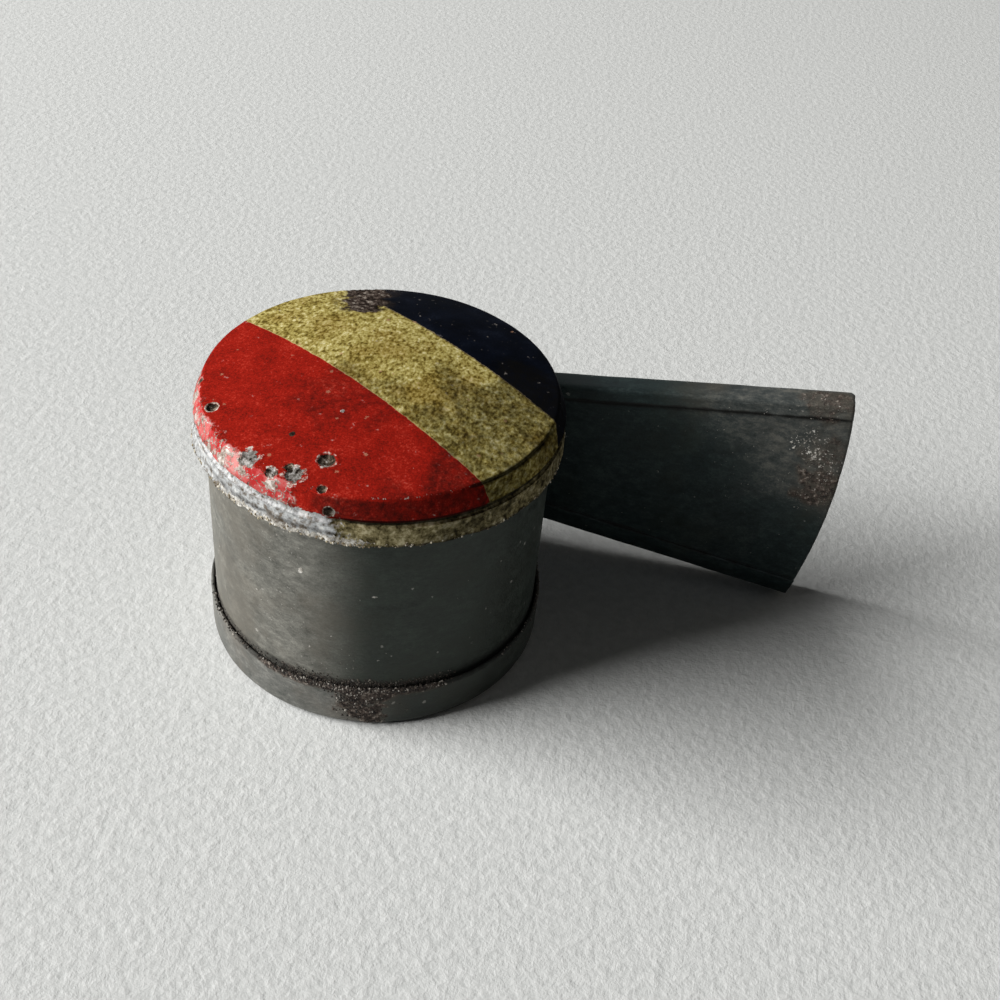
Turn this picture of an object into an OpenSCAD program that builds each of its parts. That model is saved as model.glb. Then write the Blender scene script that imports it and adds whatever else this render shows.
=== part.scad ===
// Tin water whistle: a rolled drum in a pressed base pan, closed by a domed slip-on lid,
// with a flat flared mouthpiece that blows along the drum's back wall and over a window there.
// The drum stands on its base with its axis along Z, and the mouthpiece points along +X.

/* [Sheet] */
// Thickness of the tinplate that every piece is bent from
sheet = 0.3; // [0.2:0.02:0.32]

/* [Drum] */
// Outer radius of the drum wall
drum_r = 14.1; // [13.7:0.05:14.15]
// Height of the drum's open rim above the table
drum_top = 23.6; // [22.6:0.1:23.7]
// Bearing of the lapped side seam, counted from the mouthpiece
seam_bearing = 150; // [125:1:230]
// Length of the lap behind the seam, along the wall
seam_lap = 3; // [2:0.1:5]
// Width of the solder line that shows in the seam
seam_gap = 0.6; // [0.4:0.05:0.9]
// Height that the solder line stands proud of the wall
seam_crown = 0.04; // [0.02:0.01:0.06]

/* [Sounding window] */
// Half the height of the opening in the drum wall
window_half = 6.2; // [4.5:0.1:6.4]
// Bearing where the opening starts, just behind the front plate
window_start = 57.5; // [57:0.5:60]
// Bearing where the opening ends, at the root of the lip
window_end = 101; // [96:0.5:110]
// Distance of the lip's edge past the drum's middle plane
lip_x = -1; // [-1.4:0.1:-0.6]
// Distance of the lip's edge behind the drum's axis, inside the jet of air
lip_y = 13.2; // [12.8:0.05:13.4]
// Thickness of the lip's sharpened edge
lip_edge = 0.12; // [0.08:0.02:0.2]
// Slit above and below the lip, where it is cut free to bend inward
lip_slit = 0.2; // [0.1:0.05:0.5]

/* [Base pan] */
// Outer radius of the base pan
pan_r = 14.55; // [14.5:0.05:14.8]
// Height of the pan's rim above the table
pan_h = 4.4; // [3.4:0.1:4.4]
// Radius of the pan's pressed bottom corner
pan_corner = 0.75; // [0.5:0.05:1.4]
// Gap under the drum's lower edge, where it sits on the pan's rounded corner
seat_gap = 0.02; // [0.01:0.01:0.1]
// Leg of the solder fillet that seals the drum to the pan inside
base_fillet = 0.6; // [0.4:0.05:1]

/* [Lid] */
// Outer radius of the lid at its lower edge
lid_lip_r = 15; // [14.95:0.05:15.4]
// Height of the lid's lower edge
lid_lip_z = 20.5; // [20.1:0.1:21.2]
// Outer radius of the lid's skirt at its rolled bead
lid_bead_r = 14.86; // [14.84:0.02:15]
// Height of the rolled bead's middle
lid_bead_z = 22.6; // [22.3:0.05:22.8]
// Depth that the bead is rolled in
lid_bead_depth = 0.28; // [0.15:0.01:0.28]
// Half the width of the bead
lid_bead_half = 0.38; // [0.3:0.02:0.5]
// Outer radius of the crease between the skirt and the domed top
lid_shoulder_r = 14.3; // [14.25:0.05:14.5]
// Height of that crease
lid_shoulder_z = 24.55; // [24.4:0.05:24.9]
// Width of the rounding that breaks the crease
lid_shoulder_break = 0.35; // [0.2:0.05:0.6]
// Rise of the dome from the crease to the crown
lid_crown = 1.55; // [0.8:0.05:2.5]

/* [Mouthpiece] */
// Height of the mouthpiece's middle line
mouth_mid = 11.65; // [11.6:0.05:12]
// Distance of the inner, front face from the drum's axis
mouth_front = 11.4; // [11.2:0.1:11.6]
// Distance of the outer, back face from the drum's axis
mouth_back = 13.8; // [13.6:0.05:14]
// Distance from the drum's middle plane at which the back face stops, over the window
mouth_back_end = 3.4; // [3.2:0.1:4]
// Distance at which the root width is measured
mouth_root = 9; // [8.8:0.1:9.4]
// Width of the mouthpiece at its root
mouth_root_w = 14.4; // [13.6:0.1:14.4]
// Angle that each long edge flares outward
mouth_flare = 8; // [4:0.5:8.5]
// Distance of the foremost point of the rounded end
mouth_end = 38.5; // [34:0.5:40]
// Height of that foremost point
mouth_end_z = 14.5; // [10:0.5:15]
// Radius of the rounded end
mouth_end_r = 60; // [45:1:90]
// Radius of the end's two corners
mouth_corner = 0.9; // [0.5:0.1:2]
// Width of the upper edge that is folded over the front plate
hem_top = 1.35; // [1:0.05:2]
// Width of the lower edge that is folded over the front plate
hem_bottom = 2.1; // [1.5:0.05:2.4]
// Play of the front plate between the folded edges
plate_play = 0.05; // [0.02:0.01:0.1]
// Size of the solder beads along the root
root_bead = 0.4; // [0.25:0.05:0.4]

/* [Hidden] */

$fn = 180;
eps = 0.01;
// Points along the dome, the bead, a rounded corner and the mouthpiece's end
dome_steps = 10;
bead_steps = 8;
corner_steps = 6;
end_steps = 12;
// Reach of the cutting wedges and blocks, beyond every wall
reach = 4 * drum_r;

drum_in = drum_r - sheet;
lap_in = drum_in - sheet;
pan_in = pan_r - sheet;
pan_in_corner = pan_corner - sheet;
// The drum's outer face reaches this far over the pan's rounded corner, which lifts its lower edge
seat_run = max(0, drum_r - pan_in + pan_in_corner);
drum_low = sheet + pan_in_corner - sqrt(pow(pan_in_corner, 2) - pow(seat_run, 2)) + seat_gap;
// The seam's groove is half as deep as the wall, and the lap is rooted in the other half
seam_floor = drum_r - sheet / 2;
lap_out = drum_in + sheet / 4;
// The lap is trimmed a little below the rim
lap_top = drum_top - sheet;
fillet_top = sheet + base_fillet;
lip_half = window_half - lip_slit;
// The lip is rooted a little past the window's end, under a thin cover of wall
lip_root_turn = 1.5;
lip_root = [cos(window_end + lip_root_turn), sin(window_end + lip_root_turn)];
lip_cover = sheet / 6;

// The dome is part of a ball
dome_r = (lid_shoulder_r * lid_shoulder_r + lid_crown * lid_crown) / (2 * lid_crown);
dome_z = lid_shoulder_z + lid_crown - dome_r;

// The front plate lies behind the folded edges, and the windway behind the plate
plate_front = mouth_front + sheet;
plate_back = plate_front + sheet;
wind_back = mouth_back - sheet;
end_centre = [mouth_end - mouth_end_r, mouth_end_z];
// The front bead's round and its reach along the plate's height
front_bead_r = 2 * root_bead;
front_bead_low = mouth_mid - mouth_root_w / 2 + hem_bottom + root_bead;
front_bead_high = mouth_mid + mouth_root_w / 2 - hem_top - root_bead;

// Half the mouthpiece's width at a distance x, drawn in by inset at right angles to the edge
function half_w(x, inset = 0) =
    mouth_root_w / 2 + (x - mouth_root) * tan(mouth_flare) - inset / cos(mouth_flare);

// Height of the dome over a radius, for a skin that lies depth below the outer face
function dome_height(r, depth) = dome_z + sqrt(pow(dome_r - depth, 2) - r * r);

// Points of the lid's skin in section, from the crown to the lower edge, depth below the outer face
function lid_skin(depth) =
    let (crease = lid_shoulder_r - depth,
         crease_z = lid_shoulder_z - depth,
         flat = crease - lid_shoulder_break)
    concat(
        [for (i = [0 : dome_steps]) [flat * i / dome_steps, dome_height(flat * i / dome_steps, depth)]],
        [[crease, crease_z - lid_shoulder_break / 2]],
        [for (i = [0 : bead_steps])
            let (turn = 180 * i / bead_steps)
            [lid_bead_r - depth - lid_bead_depth * sin(turn), lid_bead_z + lid_bead_half * cos(turn)]],
        [[lid_lip_r - depth, lid_lip_z]]
    );

function backwards(points) = [for (i = [len(points) - 1 : -1 : 0]) points[i]];

// Points of an arc about a centre
function arc(centre, r, from, to, steps) =
    [for (i = [0 : steps])
        let (turn = from + (to - from) * i / steps)
        centre + r * [cos(turn), sin(turn)]];

// Centre of a rounded corner of the mouthpiece's end, on the upper (1) or lower (-1) edge
function corner_centre(side, inset) =
    let (along = [cos(mouth_flare), side * sin(mouth_flare)],
         start = [mouth_root, mouth_mid + side * half_w(mouth_root, inset + mouth_corner)],
         from_centre = start - end_centre,
         ahead = from_centre * along,
         left = from_centre * from_centre - pow(mouth_end_r - mouth_corner, 2))
    start + along * (sqrt(ahead * ahead - left) - ahead);

// Angle at which a point lies from the centre of the rounded end
function end_angle(point) = atan2(point.y - end_centre.y, point.x - end_centre.x);

// Outline of the mouthpiece in X and Z, drawn in by inset along its long edges
function mouth_points(inset) =
    let (low = corner_centre(-1, inset),
         high = corner_centre(1, inset),
         end_arc = arc(end_centre, mouth_end_r, end_angle(low), end_angle(high), end_steps))
    concat(
        [[0, mouth_mid - half_w(0, inset)]],
        arc(low, mouth_corner, -90 - mouth_flare, end_angle(low), corner_steps),
        [for (i = [1 : end_steps - 1]) end_arc[i]],
        arc(high, mouth_corner, end_angle(high), 90 + mouth_flare, corner_steps),
        [[0, mouth_mid + half_w(0, inset)]]
    );

// Tube from the height low to the height high
module tube(outer, inner, low, high) {
    translate([0, 0, low])
        difference() {
            cylinder(r = outer, h = high - low);
            translate([0, 0, -eps]) cylinder(r = inner, h = high - low + 2 * eps);
        }
}

// Wedge around the drum's axis between two bearings less than a right angle apart
module wedge(from, to, low, high) {
    translate([0, 0, low])
        linear_extrude(high - low)
            polygon([[0, 0], reach * [cos(from), sin(from)], reach * [cos(to), sin(to)]]);
}

// Slab of the given width that runs outward from the axis along a bearing
module radial_slab(bearing, width, low, high) {
    rotate(bearing)
        translate([0, -width / 2, low]) cube([reach, width, high - low]);
}

// Upright panel that stands between two distances behind the axis, drawn in X and Z
module upright(front, back) {
    translate([0, back, 0]) rotate([90, 0, 0]) linear_extrude(back - front) children();
}

// Straight band between the long edges that runs past both ends
module mouth_band(inset_low, inset_high) {
    far = mouth_end + mouth_root;
    polygon([
        [0, mouth_mid - half_w(0, inset_low)],
        [far, mouth_mid - half_w(far, inset_low)],
        [far, mouth_mid + half_w(far, inset_high)],
        [0, mouth_mid + half_w(0, inset_high)]
    ]);
}

// Space of the drum, which the mouthpiece is fitted round
module drum_space() {
    cylinder(r = drum_r, h = drum_top);
}

module lid() {
    color("firebrick")
        rotate_extrude()
            polygon(concat(lid_skin(0), backwards(lid_skin(sheet))));
}

module drum_wall() {
    color("dimgray") {
        difference() {
            union() {
                tube(drum_r, drum_in, drum_low, drum_top);
                // Lap behind the side seam
                intersection() {
                    tube(lap_out, lap_in, fillet_top, lap_top);
                    radial_slab(seam_bearing, seam_lap, fillet_top, lap_top);
                }
            }
            // Groove that the seam's solder fills
            difference() {
                radial_slab(seam_bearing, seam_gap, 0, drum_top + eps);
                cylinder(r = seam_floor, h = drum_top + 1);
            }
            wedge(window_start, window_end, mouth_mid - window_half, mouth_mid + window_half);
        }
        // Lip that splits the jet of air, rooted inside the wall's thickness
        translate([0, 0, mouth_mid - lip_half])
            linear_extrude(2 * lip_half)
                polygon([
                    [lip_x, lip_y],
                    [lip_x, lip_y - lip_edge],
                    (drum_in + lip_cover) * lip_root,
                    (drum_r - lip_cover) * lip_root
                ]);
    }
}

module base_pan() {
    centre = [pan_r - pan_corner, pan_corner];
    color("dimgray")
        rotate_extrude()
            polygon(concat(
                [[0, 0]],
                arc(centre, pan_corner, -90, 0, corner_steps),
                [[pan_r, pan_h], [pan_in, pan_h]],
                arc(centre, pan_in_corner, 0, -90, corner_steps),
                [[0, sheet]]
            ));
}

module mouthpiece_back_plate() {
    color("darkslategray")
        difference() {
            upright(mouth_front, mouth_back) polygon(mouth_points(0));
            // Windway, with the front plate's seat
            upright(plate_front, wind_back) mouth_band(sheet, sheet);
            // Opening between the folded edges
            upright(mouth_front - eps, plate_front + eps) mouth_band(hem_bottom, hem_top);
            drum_space();
            // Straight edge of the back face at the window
            cube([mouth_back_end, reach, drum_top]);
        }
}

module mouthpiece_front_plate() {
    color("slategray")
        difference() {
            upright(plate_front, plate_back) polygon(mouth_points(sheet + plate_play));
            drum_space();
        }
}

module side_seam_solder() {
    color("silver")
        intersection() {
            tube(drum_r + seam_crown, seam_floor, drum_low, drum_top);
            radial_slab(seam_bearing, seam_gap, drum_low, drum_top);
        }
}

module mouthpiece_solder() {
    color("silver") {
        // Fillet in the corner between the drum and the front plate
        difference() {
            translate([sqrt(drum_r * drum_r - plate_front * plate_front), plate_front, front_bead_low])
                cylinder(r = front_bead_r, h = front_bead_high - front_bead_low, $fn = 48);
            drum_space();
            translate([0, plate_front, 0]) cube([reach, reach, drum_top]);
        }
        // Beads along the upper and lower edges
        intersection() {
            tube(drum_r + root_bead, drum_r, pan_h + root_bead / 4, drum_top);
            upright(mouth_front, wind_back)
                difference() {
                    mouth_band(-root_bead, -root_bead);
                    mouth_band(0, 0);
                }
        }
    }
}

module base_solder() {
    color("silver")
        rotate_extrude()
            polygon([[drum_in, sheet], [drum_in, fillet_top], [drum_in - base_fillet, sheet]]);
}

lid();
drum_wall();
base_pan();
mouthpiece_back_plate();
mouthpiece_front_plate();
side_seam_solder();
mouthpiece_solder();
base_solder();
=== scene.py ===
"""Dress the tin water whistle: a striped lid on a tarnished drum, with a base pan and a flat mouthpiece."""

import logging
import math
from collections.abc import Callable, Sequence
from dataclasses import dataclass
from enum import Enum
from functools import cached_property

import bpy
import numpy as np
from bpy.types import Material, Mesh, Node, NodeSocket, NodeTree, Object
from mathutils import Matrix, Vector, noise


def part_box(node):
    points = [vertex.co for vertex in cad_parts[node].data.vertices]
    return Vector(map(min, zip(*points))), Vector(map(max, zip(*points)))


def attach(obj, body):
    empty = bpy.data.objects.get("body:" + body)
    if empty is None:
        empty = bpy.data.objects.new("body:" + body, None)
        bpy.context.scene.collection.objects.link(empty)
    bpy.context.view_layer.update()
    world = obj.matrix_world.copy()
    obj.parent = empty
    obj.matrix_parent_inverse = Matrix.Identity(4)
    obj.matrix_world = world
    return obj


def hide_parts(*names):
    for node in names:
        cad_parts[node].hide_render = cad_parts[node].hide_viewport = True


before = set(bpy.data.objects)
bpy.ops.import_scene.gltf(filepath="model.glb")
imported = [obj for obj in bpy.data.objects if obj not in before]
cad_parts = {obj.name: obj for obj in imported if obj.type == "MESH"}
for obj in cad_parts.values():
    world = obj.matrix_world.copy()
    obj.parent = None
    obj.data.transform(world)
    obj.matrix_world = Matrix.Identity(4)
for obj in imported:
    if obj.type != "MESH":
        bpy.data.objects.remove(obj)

LOG = logging.getLogger("water_whistle")
Triple = tuple[float, float, float]
Colour = tuple[float, float, float]
Stops = Sequence[tuple[float, Colour]]
Layers = Sequence[Triple]
Section = list[tuple[float, float]]
Faces = list[tuple[int, ...]]

# Sizes in metres and degrees that several pieces share.
MM = 0.001
GAUGE = 0.3 * MM
LID_RADIUS = 15.0 * MM
DRUM_RADIUS = 14.1 * MM
SEAM_BEARING = 150.0
PIPE_MIDDLE = 11.65 * MM
PIPE_ROOT = 9.0 * MM
PIPE_ROOT_HALF = 7.2 * MM
PIPE_FLARE = math.tan(math.radians(8.0))


class Body(Enum):
    """Body that a piece rides on."""

    WHISTLE = "whistle"
    LID = "lid"


class Slot(Enum):
    """Material slot of the record that each assembly names."""

    PRINTED_TIN = "printed_tin"
    DRUM_TIN = "drum_tin"
    PAN_TIN = "pan_tin"
    MOUTHPIECE_TIN = "mouthpiece_tin"
    SOLDER = "solder"


class Stain(Enum):
    """Kind of mark on the tin, ageing as well as painted shade and painted light, kept on the mesh as an attribute
    of the same name.
    """

    RUST = "rust"
    CHALK = "chalk"
    # Dirt, and in places painted shade.
    GRIME_AND_SHADE = "grime_and_shade"
    # Worn tin, and on the mouthpiece also painted light.
    RUBBED_AND_LIT = "rubbed_and_lit"
    FADE = "fade"
    SILVER = "silver"
    # Painted shade on the sides away from the lamp and in the drum's shadow.
    PAINTED_SHADE = "tarnish"
    CRUMBS = "crumbs"


def ease(low: float, high: float, value: np.ndarray) -> np.ndarray:
    """Ease values from 0 at low to 1 at high; low may be the larger one."""
    step = np.clip((value - low) / (high - low), 0.0, 1.0)
    return step * step * (3.0 - 2.0 * step)


def ripple(points: np.ndarray, pitch: float, seed: float = 0.0) -> np.ndarray:
    """Smooth noise between -1 and 1 at each point, which changes over the pitch; a seed gives another pattern."""
    return np.array([noise.noise(place) for place in (points / pitch + seed).tolist()])


def waves(points: np.ndarray, layers: Layers, floor: float = -1.0) -> np.ndarray:
    """Sum of smooth noises at each point.

    Args:
        points: Points in metres, one per row.
        layers: Height and pitch in millimetres and seed of each noise.
        floor: Lowest value that a noise of height 1 keeps.

    Returns:
        The sum in metres.
    """
    return sum(
        height * MM * np.maximum(floor, ripple(points, pitch * MM, seed)) for height, pitch, seed in layers
    )


def bearing_gap(points: np.ndarray, middle: float) -> np.ndarray:
    """Degrees about the drum's axis between each point and a bearing, the short way round."""
    bearings = np.degrees(np.arctan2(points[:, 1], points[:, 0]))
    return np.abs((bearings - middle + 180.0) % 360.0 - 180.0)


def pipe_half(x: np.ndarray) -> np.ndarray:
    """Half the mouthpiece's width at each distance along it."""
    return PIPE_ROOT_HALF + (x - PIPE_ROOT) * PIPE_FLARE


@dataclass(frozen=True)
class Spot:
    """Spot round a point, with a ragged outline, that carries a stain; some spots carry painted shade and painted
    light.

    Attributes:
        place: Middle in millimetres.
        reach: Radius in millimetres.
        strength: Stain at the middle.
        ragged: Share of the radius that the outline wanders.
    """

    place: Triple
    reach: float
    strength: float
    ragged: float = 0.5

    def cover(self, points: np.ndarray) -> np.ndarray:
        """Stain of this spot.

        Args:
            points: Points in metres.

        Returns:
            The stain at each point.
        """
        reach = self.reach * MM
        away = np.linalg.norm(points - np.array(self.place) * MM, axis=1) / reach
        near = away < 2.0
        cover = np.zeros(len(points))
        wander = self.ragged * ripple(points[near], 0.45 * reach, self.place[0])
        cover[near] = self.strength * ease(1.1, 0.55, away[near] + wander)
        return cover


@dataclass(frozen=True)
class Band:
    """Stretch of a round wall that carries a stain; some bands carry painted shade.

    Attributes:
        middle: Middle bearing in degrees.
        half: Half the length in degrees.
        low: Lower height in millimetres.
        high: Upper height in millimetres.
        strength: Stain inside the band.
        feather: Softness of the upper and lower edges in millimetres.
    """

    middle: float
    half: float
    low: float
    high: float
    strength: float
    feather: float = 0.25

    def cover(self, points: np.ndarray) -> np.ndarray:
        """Stain of this band.

        Args:
            points: Points in metres.

        Returns:
            The stain at each point.
        """
        height = points[:, 2] / MM + 0.4 * self.feather * ripple(points, 0.9 * MM, self.middle)
        inside = ease(self.low - self.feather, self.low + self.feather, height)
        inside *= ease(self.high + self.feather, self.high - self.feather, height)
        return self.strength * inside * ease(1.15 * self.half, 0.75 * self.half, bearing_gap(points, self.middle))


@dataclass(frozen=True)
class Line:
    """Line between two points that carries a stain, as along a folded edge; the lines along the mouthpiece's folds
    and end carry painted shade.

    Attributes:
        start: First end in millimetres.
        end: Other end in millimetres.
        reach: Half the width in millimetres.
        strength: Stain along the line.
    """

    start: Triple
    end: Triple
    reach: float
    strength: float

    def cover(self, points: np.ndarray) -> np.ndarray:
        """Stain of this line.

        Args:
            points: Points in metres.

        Returns:
            The stain at each point.
        """
        start, along = np.array(self.start) * MM, (np.array(self.end) - np.array(self.start)) * MM
        share = np.clip((points - start) @ along / (along @ along), 0.0, 1.0)
        away = np.linalg.norm(points - start - share[:, None] * along, axis=1) / (self.reach * MM)
        return self.strength * ease(1.3, 0.4, away + 0.3 * ripple(points, 1.5 * MM, self.reach))


Marks = dict[Stain, Sequence[Spot | Band | Line]]


def keep_values(mesh: Mesh, name: str, values: np.ndarray) -> None:
    """Store one value per point on a mesh under a name."""
    mesh.attributes.new(name, "FLOAT", "POINT").data.foreach_set("value", values.astype(np.float32))


def make_object(name: str, points: np.ndarray, faces: Faces, marks: Marks, crease: float = 40.0) -> Object:
    """Make a smooth-shaded object that carries the strongest cover of each stain.

    Args:
        name: Name of the piece.
        points: Points in metres, one per row.
        faces: Corner numbers of each face, turned outward.
        marks: Stained places by stain.
        crease: Angle in degrees from which an edge stays sharp.

    Returns:
        The new object, linked to the scene.
    """
    mesh = bpy.data.meshes.new(name)
    mesh.from_pydata(points.tolist(), [], faces)
    mesh.shade_smooth()
    mesh.set_sharp_from_angle(angle=math.radians(crease))
    for stain in Stain:
        covers = [mark.cover(points) for mark in marks.get(stain, ())]
        keep_values(mesh, stain.value, np.max([np.zeros(len(points)), *covers], axis=0))
    piece = bpy.data.objects.new(name, mesh)
    bpy.context.scene.collection.objects.link(piece)
    return piece


def make_sheet(name: str, points: np.ndarray, faces: Faces, marks: Marks, crease: float = 40.0) -> Object:
    """Make a sheet of tin, thickened inward from its outer face.

    Args:
        name: Name of the piece.
        points: Points of the outer face in metres.
        faces: Corner numbers of each face, turned outward.
        marks: Stained places by stain.
        crease: Angle in degrees from which an edge stays sharp.

    Returns:
        The sheet.
    """
    piece = make_object(name, points, faces, marks, crease)
    wall = piece.modifiers.new("gauge", "SOLIDIFY")
    wall.thickness, wall.offset, wall.use_even_offset = GAUGE, -1.0, True
    return piece


def grid_faces(rows: int, columns: int, around: bool = False) -> Faces:
    """Quads of a grid of points that is numbered row by row.

    Args:
        rows: Number of rows.
        columns: Number of points in a row.
        around: Whether each row closes on itself.

    Returns:
        Corner numbers of each quad.
    """
    faces = []
    for row in range(rows - 1):
        near, far = row * columns, (row + 1) * columns
        for column in range(columns if around else columns - 1):
            beside = (column + 1) % columns
            faces.append((near + column, far + column, far + beside, near + beside))
    return faces


def wall_points(bearings: np.ndarray, heights: np.ndarray, radius: float) -> np.ndarray:
    """Points of a round wall, row by row from below, at bearings in degrees."""
    turn, height = np.meshgrid(np.radians(bearings), heights)
    return np.stack([np.cos(turn) * radius, np.sin(turn) * radius, height], axis=-1).reshape(-1, 3)


def steps(start: tuple[float, float], end: tuple[float, float], count: int) -> Section:
    """Points along a straight line of a section, without its end."""
    (a, b), (c, d) = start, end
    return [(a + (c - a) * i / count, b + (d - b) * i / count) for i in range(count)]


def curve(centre: tuple[float, float], radius: float, start: float, end: float, count: int) -> Section:
    """Points along an arc of a section between two angles in degrees, without its end."""
    turns = [math.radians(start + (end - start) * i / count) for i in range(count)]
    return [(centre[0] + radius * math.cos(t), centre[1] + radius * math.sin(t)) for t in turns]


@dataclass
class Turned:
    """Wall of sheet tin turned about the drum's axis, from one pole to the other.

    Attributes:
        path: Radius and height in metres of each ring; the first and last are the poles.
        segments: Number of points in a ring.
    """

    path: Section
    segments: int

    def spin(self, radial: np.ndarray, axial: np.ndarray) -> np.ndarray:
        """Turn one pair of values per ring about the axis.

        Args:
            radial: Part of each ring away from the axis.
            axial: Part of each ring along the axis.

        Returns:
            One row per point, ring by ring.
        """
        turn = np.linspace(0.0, 2.0 * math.pi, self.segments, endpoint=False)
        level = np.repeat(axial[:, None], self.segments, axis=1)
        rings = [np.outer(radial, np.cos(turn)), np.outer(radial, np.sin(turn)), level]
        return np.stack(rings, axis=-1).reshape(-1, 3)

    def points(self) -> np.ndarray:
        """Points of all the rings between the poles."""
        return self.spin(*np.array(self.path[1:-1]).T)

    def normals(self) -> np.ndarray:
        """Outward direction at each of those points.

        Returns:
            One direction per point.
        """
        path = np.array(self.path)
        along = path[2:] - path[:-2]
        along /= np.linalg.norm(along, axis=1)[:, None]
        return self.spin(-along[:, 1], along[:, 0])

    def make(self, name: str, points: np.ndarray, marks: Marks) -> tuple[Object, np.ndarray]:
        """Close shaped rings with the poles and make the object.

        Args:
            name: Name of the piece.
            points: The rings' points after shaping.
            marks: Stained places by stain.

        Returns:
            The object and all its points, poles last.
        """
        rings, count = len(self.path) - 2, len(points)
        start, end = points[: self.segments].mean(axis=0), points[-self.segments :].mean(axis=0)
        start[2] += self.path[0][1] - self.path[1][1]
        end[2] += self.path[-1][1] - self.path[-2][1]
        faces = grid_faces(rings, self.segments, around=True)
        below = count - self.segments
        for column in range(self.segments):
            beside = (column + 1) % self.segments
            faces += [(count, column, beside), (below + column, count + 1, below + beside)]
        every = np.vstack([points, start, end])
        return make_object(name, every, faces, marks), every


@dataclass(frozen=True)
class Wire:
    """Output of a node, to reckon and to colour with.

    Attributes:
        bench: Bench with the node's tree.
        socket: The output.
    """

    bench: "Bench"
    socket: NodeSocket

    def math(self, operation: str, other: "Wire | float" = 0.0) -> "Wire":
        """Result of a maths node on this and another value."""
        return self.bench.add("ShaderNodeMath", {0: self, 1: other}, operation=operation)

    def __add__(self, other: "Wire | float") -> "Wire":
        """Sum of two values."""
        return self.math("ADD", other)

    def __sub__(self, other: "Wire | float") -> "Wire":
        """Difference of two values."""
        return self.math("SUBTRACT", other)

    def __mul__(self, other: "Wire | float") -> "Wire":
        """Product of two values."""
        return self.math("MULTIPLY", other)

    __rmul__ = __mul__

    def peak(self, other: "Wire | float") -> "Wire":
        """Larger of two values."""
        return self.math("MAXIMUM", other)

    def rest(self) -> "Wire":
        """What is left of 1."""
        return self.bench.add("ShaderNodeMath", {0: 1.0, 1: self}, operation="SUBTRACT")

    def swing(self, strength: "Wire | float") -> "Wire":
        """This noise about 0, times a strength."""
        return (self - 0.5) * strength

    def ease(self, low: float, high: float, start: float = 0.0, end: float = 1.0) -> "Wire":
        """Ease from start, where this is low, to end, where it is high."""
        limits = {"Value": self, "From Min": low, "From Max": high, "To Min": start, "To Max": end}
        return self.bench.add("ShaderNodeMapRange", limits, interpolation_type="SMOOTHSTEP")

    def toward(self, other: float, share: "Wire") -> "Wire":
        """This value with a share of another."""
        return self.bench.add("ShaderNodeMix", {0: share, 2: self, 3: other})

    def under(self, over: "Wire | Colour", share: "Wire", blend: str = "MIX") -> "Wire":
        """This colour with a share of another laid over it."""
        inputs = {0: share, 6: self, 7: over}
        return self.bench.add("ShaderNodeMix", inputs, 2, data_type="RGBA", blend_type=blend)

    def ramp(self, stops: Stops) -> "Wire":
        """Turn this value into a colour.

        Args:
            stops: Position and colour of each stop, in rising order.

        Returns:
            The colour.
        """
        wire = self.bench.add("ShaderNodeValToRGB", {0: self})
        elements = wire.socket.node.color_ramp.elements
        while len(elements) < len(stops):
            elements.new(1.0)
        for element, (position, colour) in zip(elements, stops):
            element.position, element.color = position, (*colour, 1.0)
        return wire

    def grain(self, pitch: float, detail: float = 3.0, rough: float = 0.6) -> "Wire":
        """Noise of about 0.5 at this place, with grains of the pitch and some finer ones."""
        inputs = {"Vector": self, "Scale": 1.0 / pitch, "Detail": detail, "Roughness": rough}
        return self.bench.add("ShaderNodeTexNoise", inputs, "Fac")

    def stretch(self, factors: Triple) -> "Wire":
        """This place scaled along each axis."""
        return self.bench.add("ShaderNodeMapping", {"Vector": self, "Scale": factors})

    def beside(self, name: str) -> "Wire":
        """Another output of the same node."""
        return Wire(self.bench, self.socket.node.outputs[name])


@dataclass(frozen=True)
class Bench:
    """Node tree under construction."""

    tree: NodeTree

    def feed(self, node: Node, inputs: dict[str | int, object]) -> None:
        """Set or link some of a node's inputs.

        Args:
            node: The node.
            inputs: Value or wire for each input, by name or number.
        """
        for key, value in inputs.items():
            if isinstance(value, Wire):
                self.tree.links.new(value.socket, node.inputs[key])
            else:
                is_colour = node.inputs[key].type == "RGBA"
                node.inputs[key].default_value = (*value, 1.0) if is_colour else value

    def node(self, kind: str, inputs: dict[str | int, object] | None = None, **settings: object) -> Node:
        """Add a node.

        Args:
            kind: Type of the node.
            inputs: Value or wire for each input, by name or number.
            settings: Properties of the node.

        Returns:
            The node.
        """
        node = self.tree.nodes.new(kind)
        for name, value in settings.items():
            setattr(node, name, value)
        self.feed(node, inputs or {})
        return node

    def add(
        self, kind: str, inputs: dict[str | int, object] | None = None, output: str | int = 0, **settings: object
    ) -> Wire:
        """Add a node and take one of its outputs."""
        return Wire(self, self.node(kind, inputs, **settings).outputs[output])


def start_group(
    kind: str, name: str, inputs: dict[str, str], outputs: dict[str, str]
) -> tuple[Bench, dict[str, Wire]]:
    """Start a node group.

    Args:
        kind: Type of its tree.
        name: Name of the group.
        inputs: Kind of each input by name.
        outputs: Kind of each output by name.

    Returns:
        Its bench and its inputs by name.
    """
    bench = Bench(bpy.data.node_groups.new(name, kind))
    for direction, sockets in (("INPUT", inputs), ("OUTPUT", outputs)):
        for socket, value in sockets.items():
            bench.tree.interface.new_socket(socket, in_out=direction, socket_type=f"NodeSocket{value}")
    given = bench.node("NodeGroupInput").outputs
    return bench, {socket: Wire(bench, given[socket]) for socket in inputs}


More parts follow.
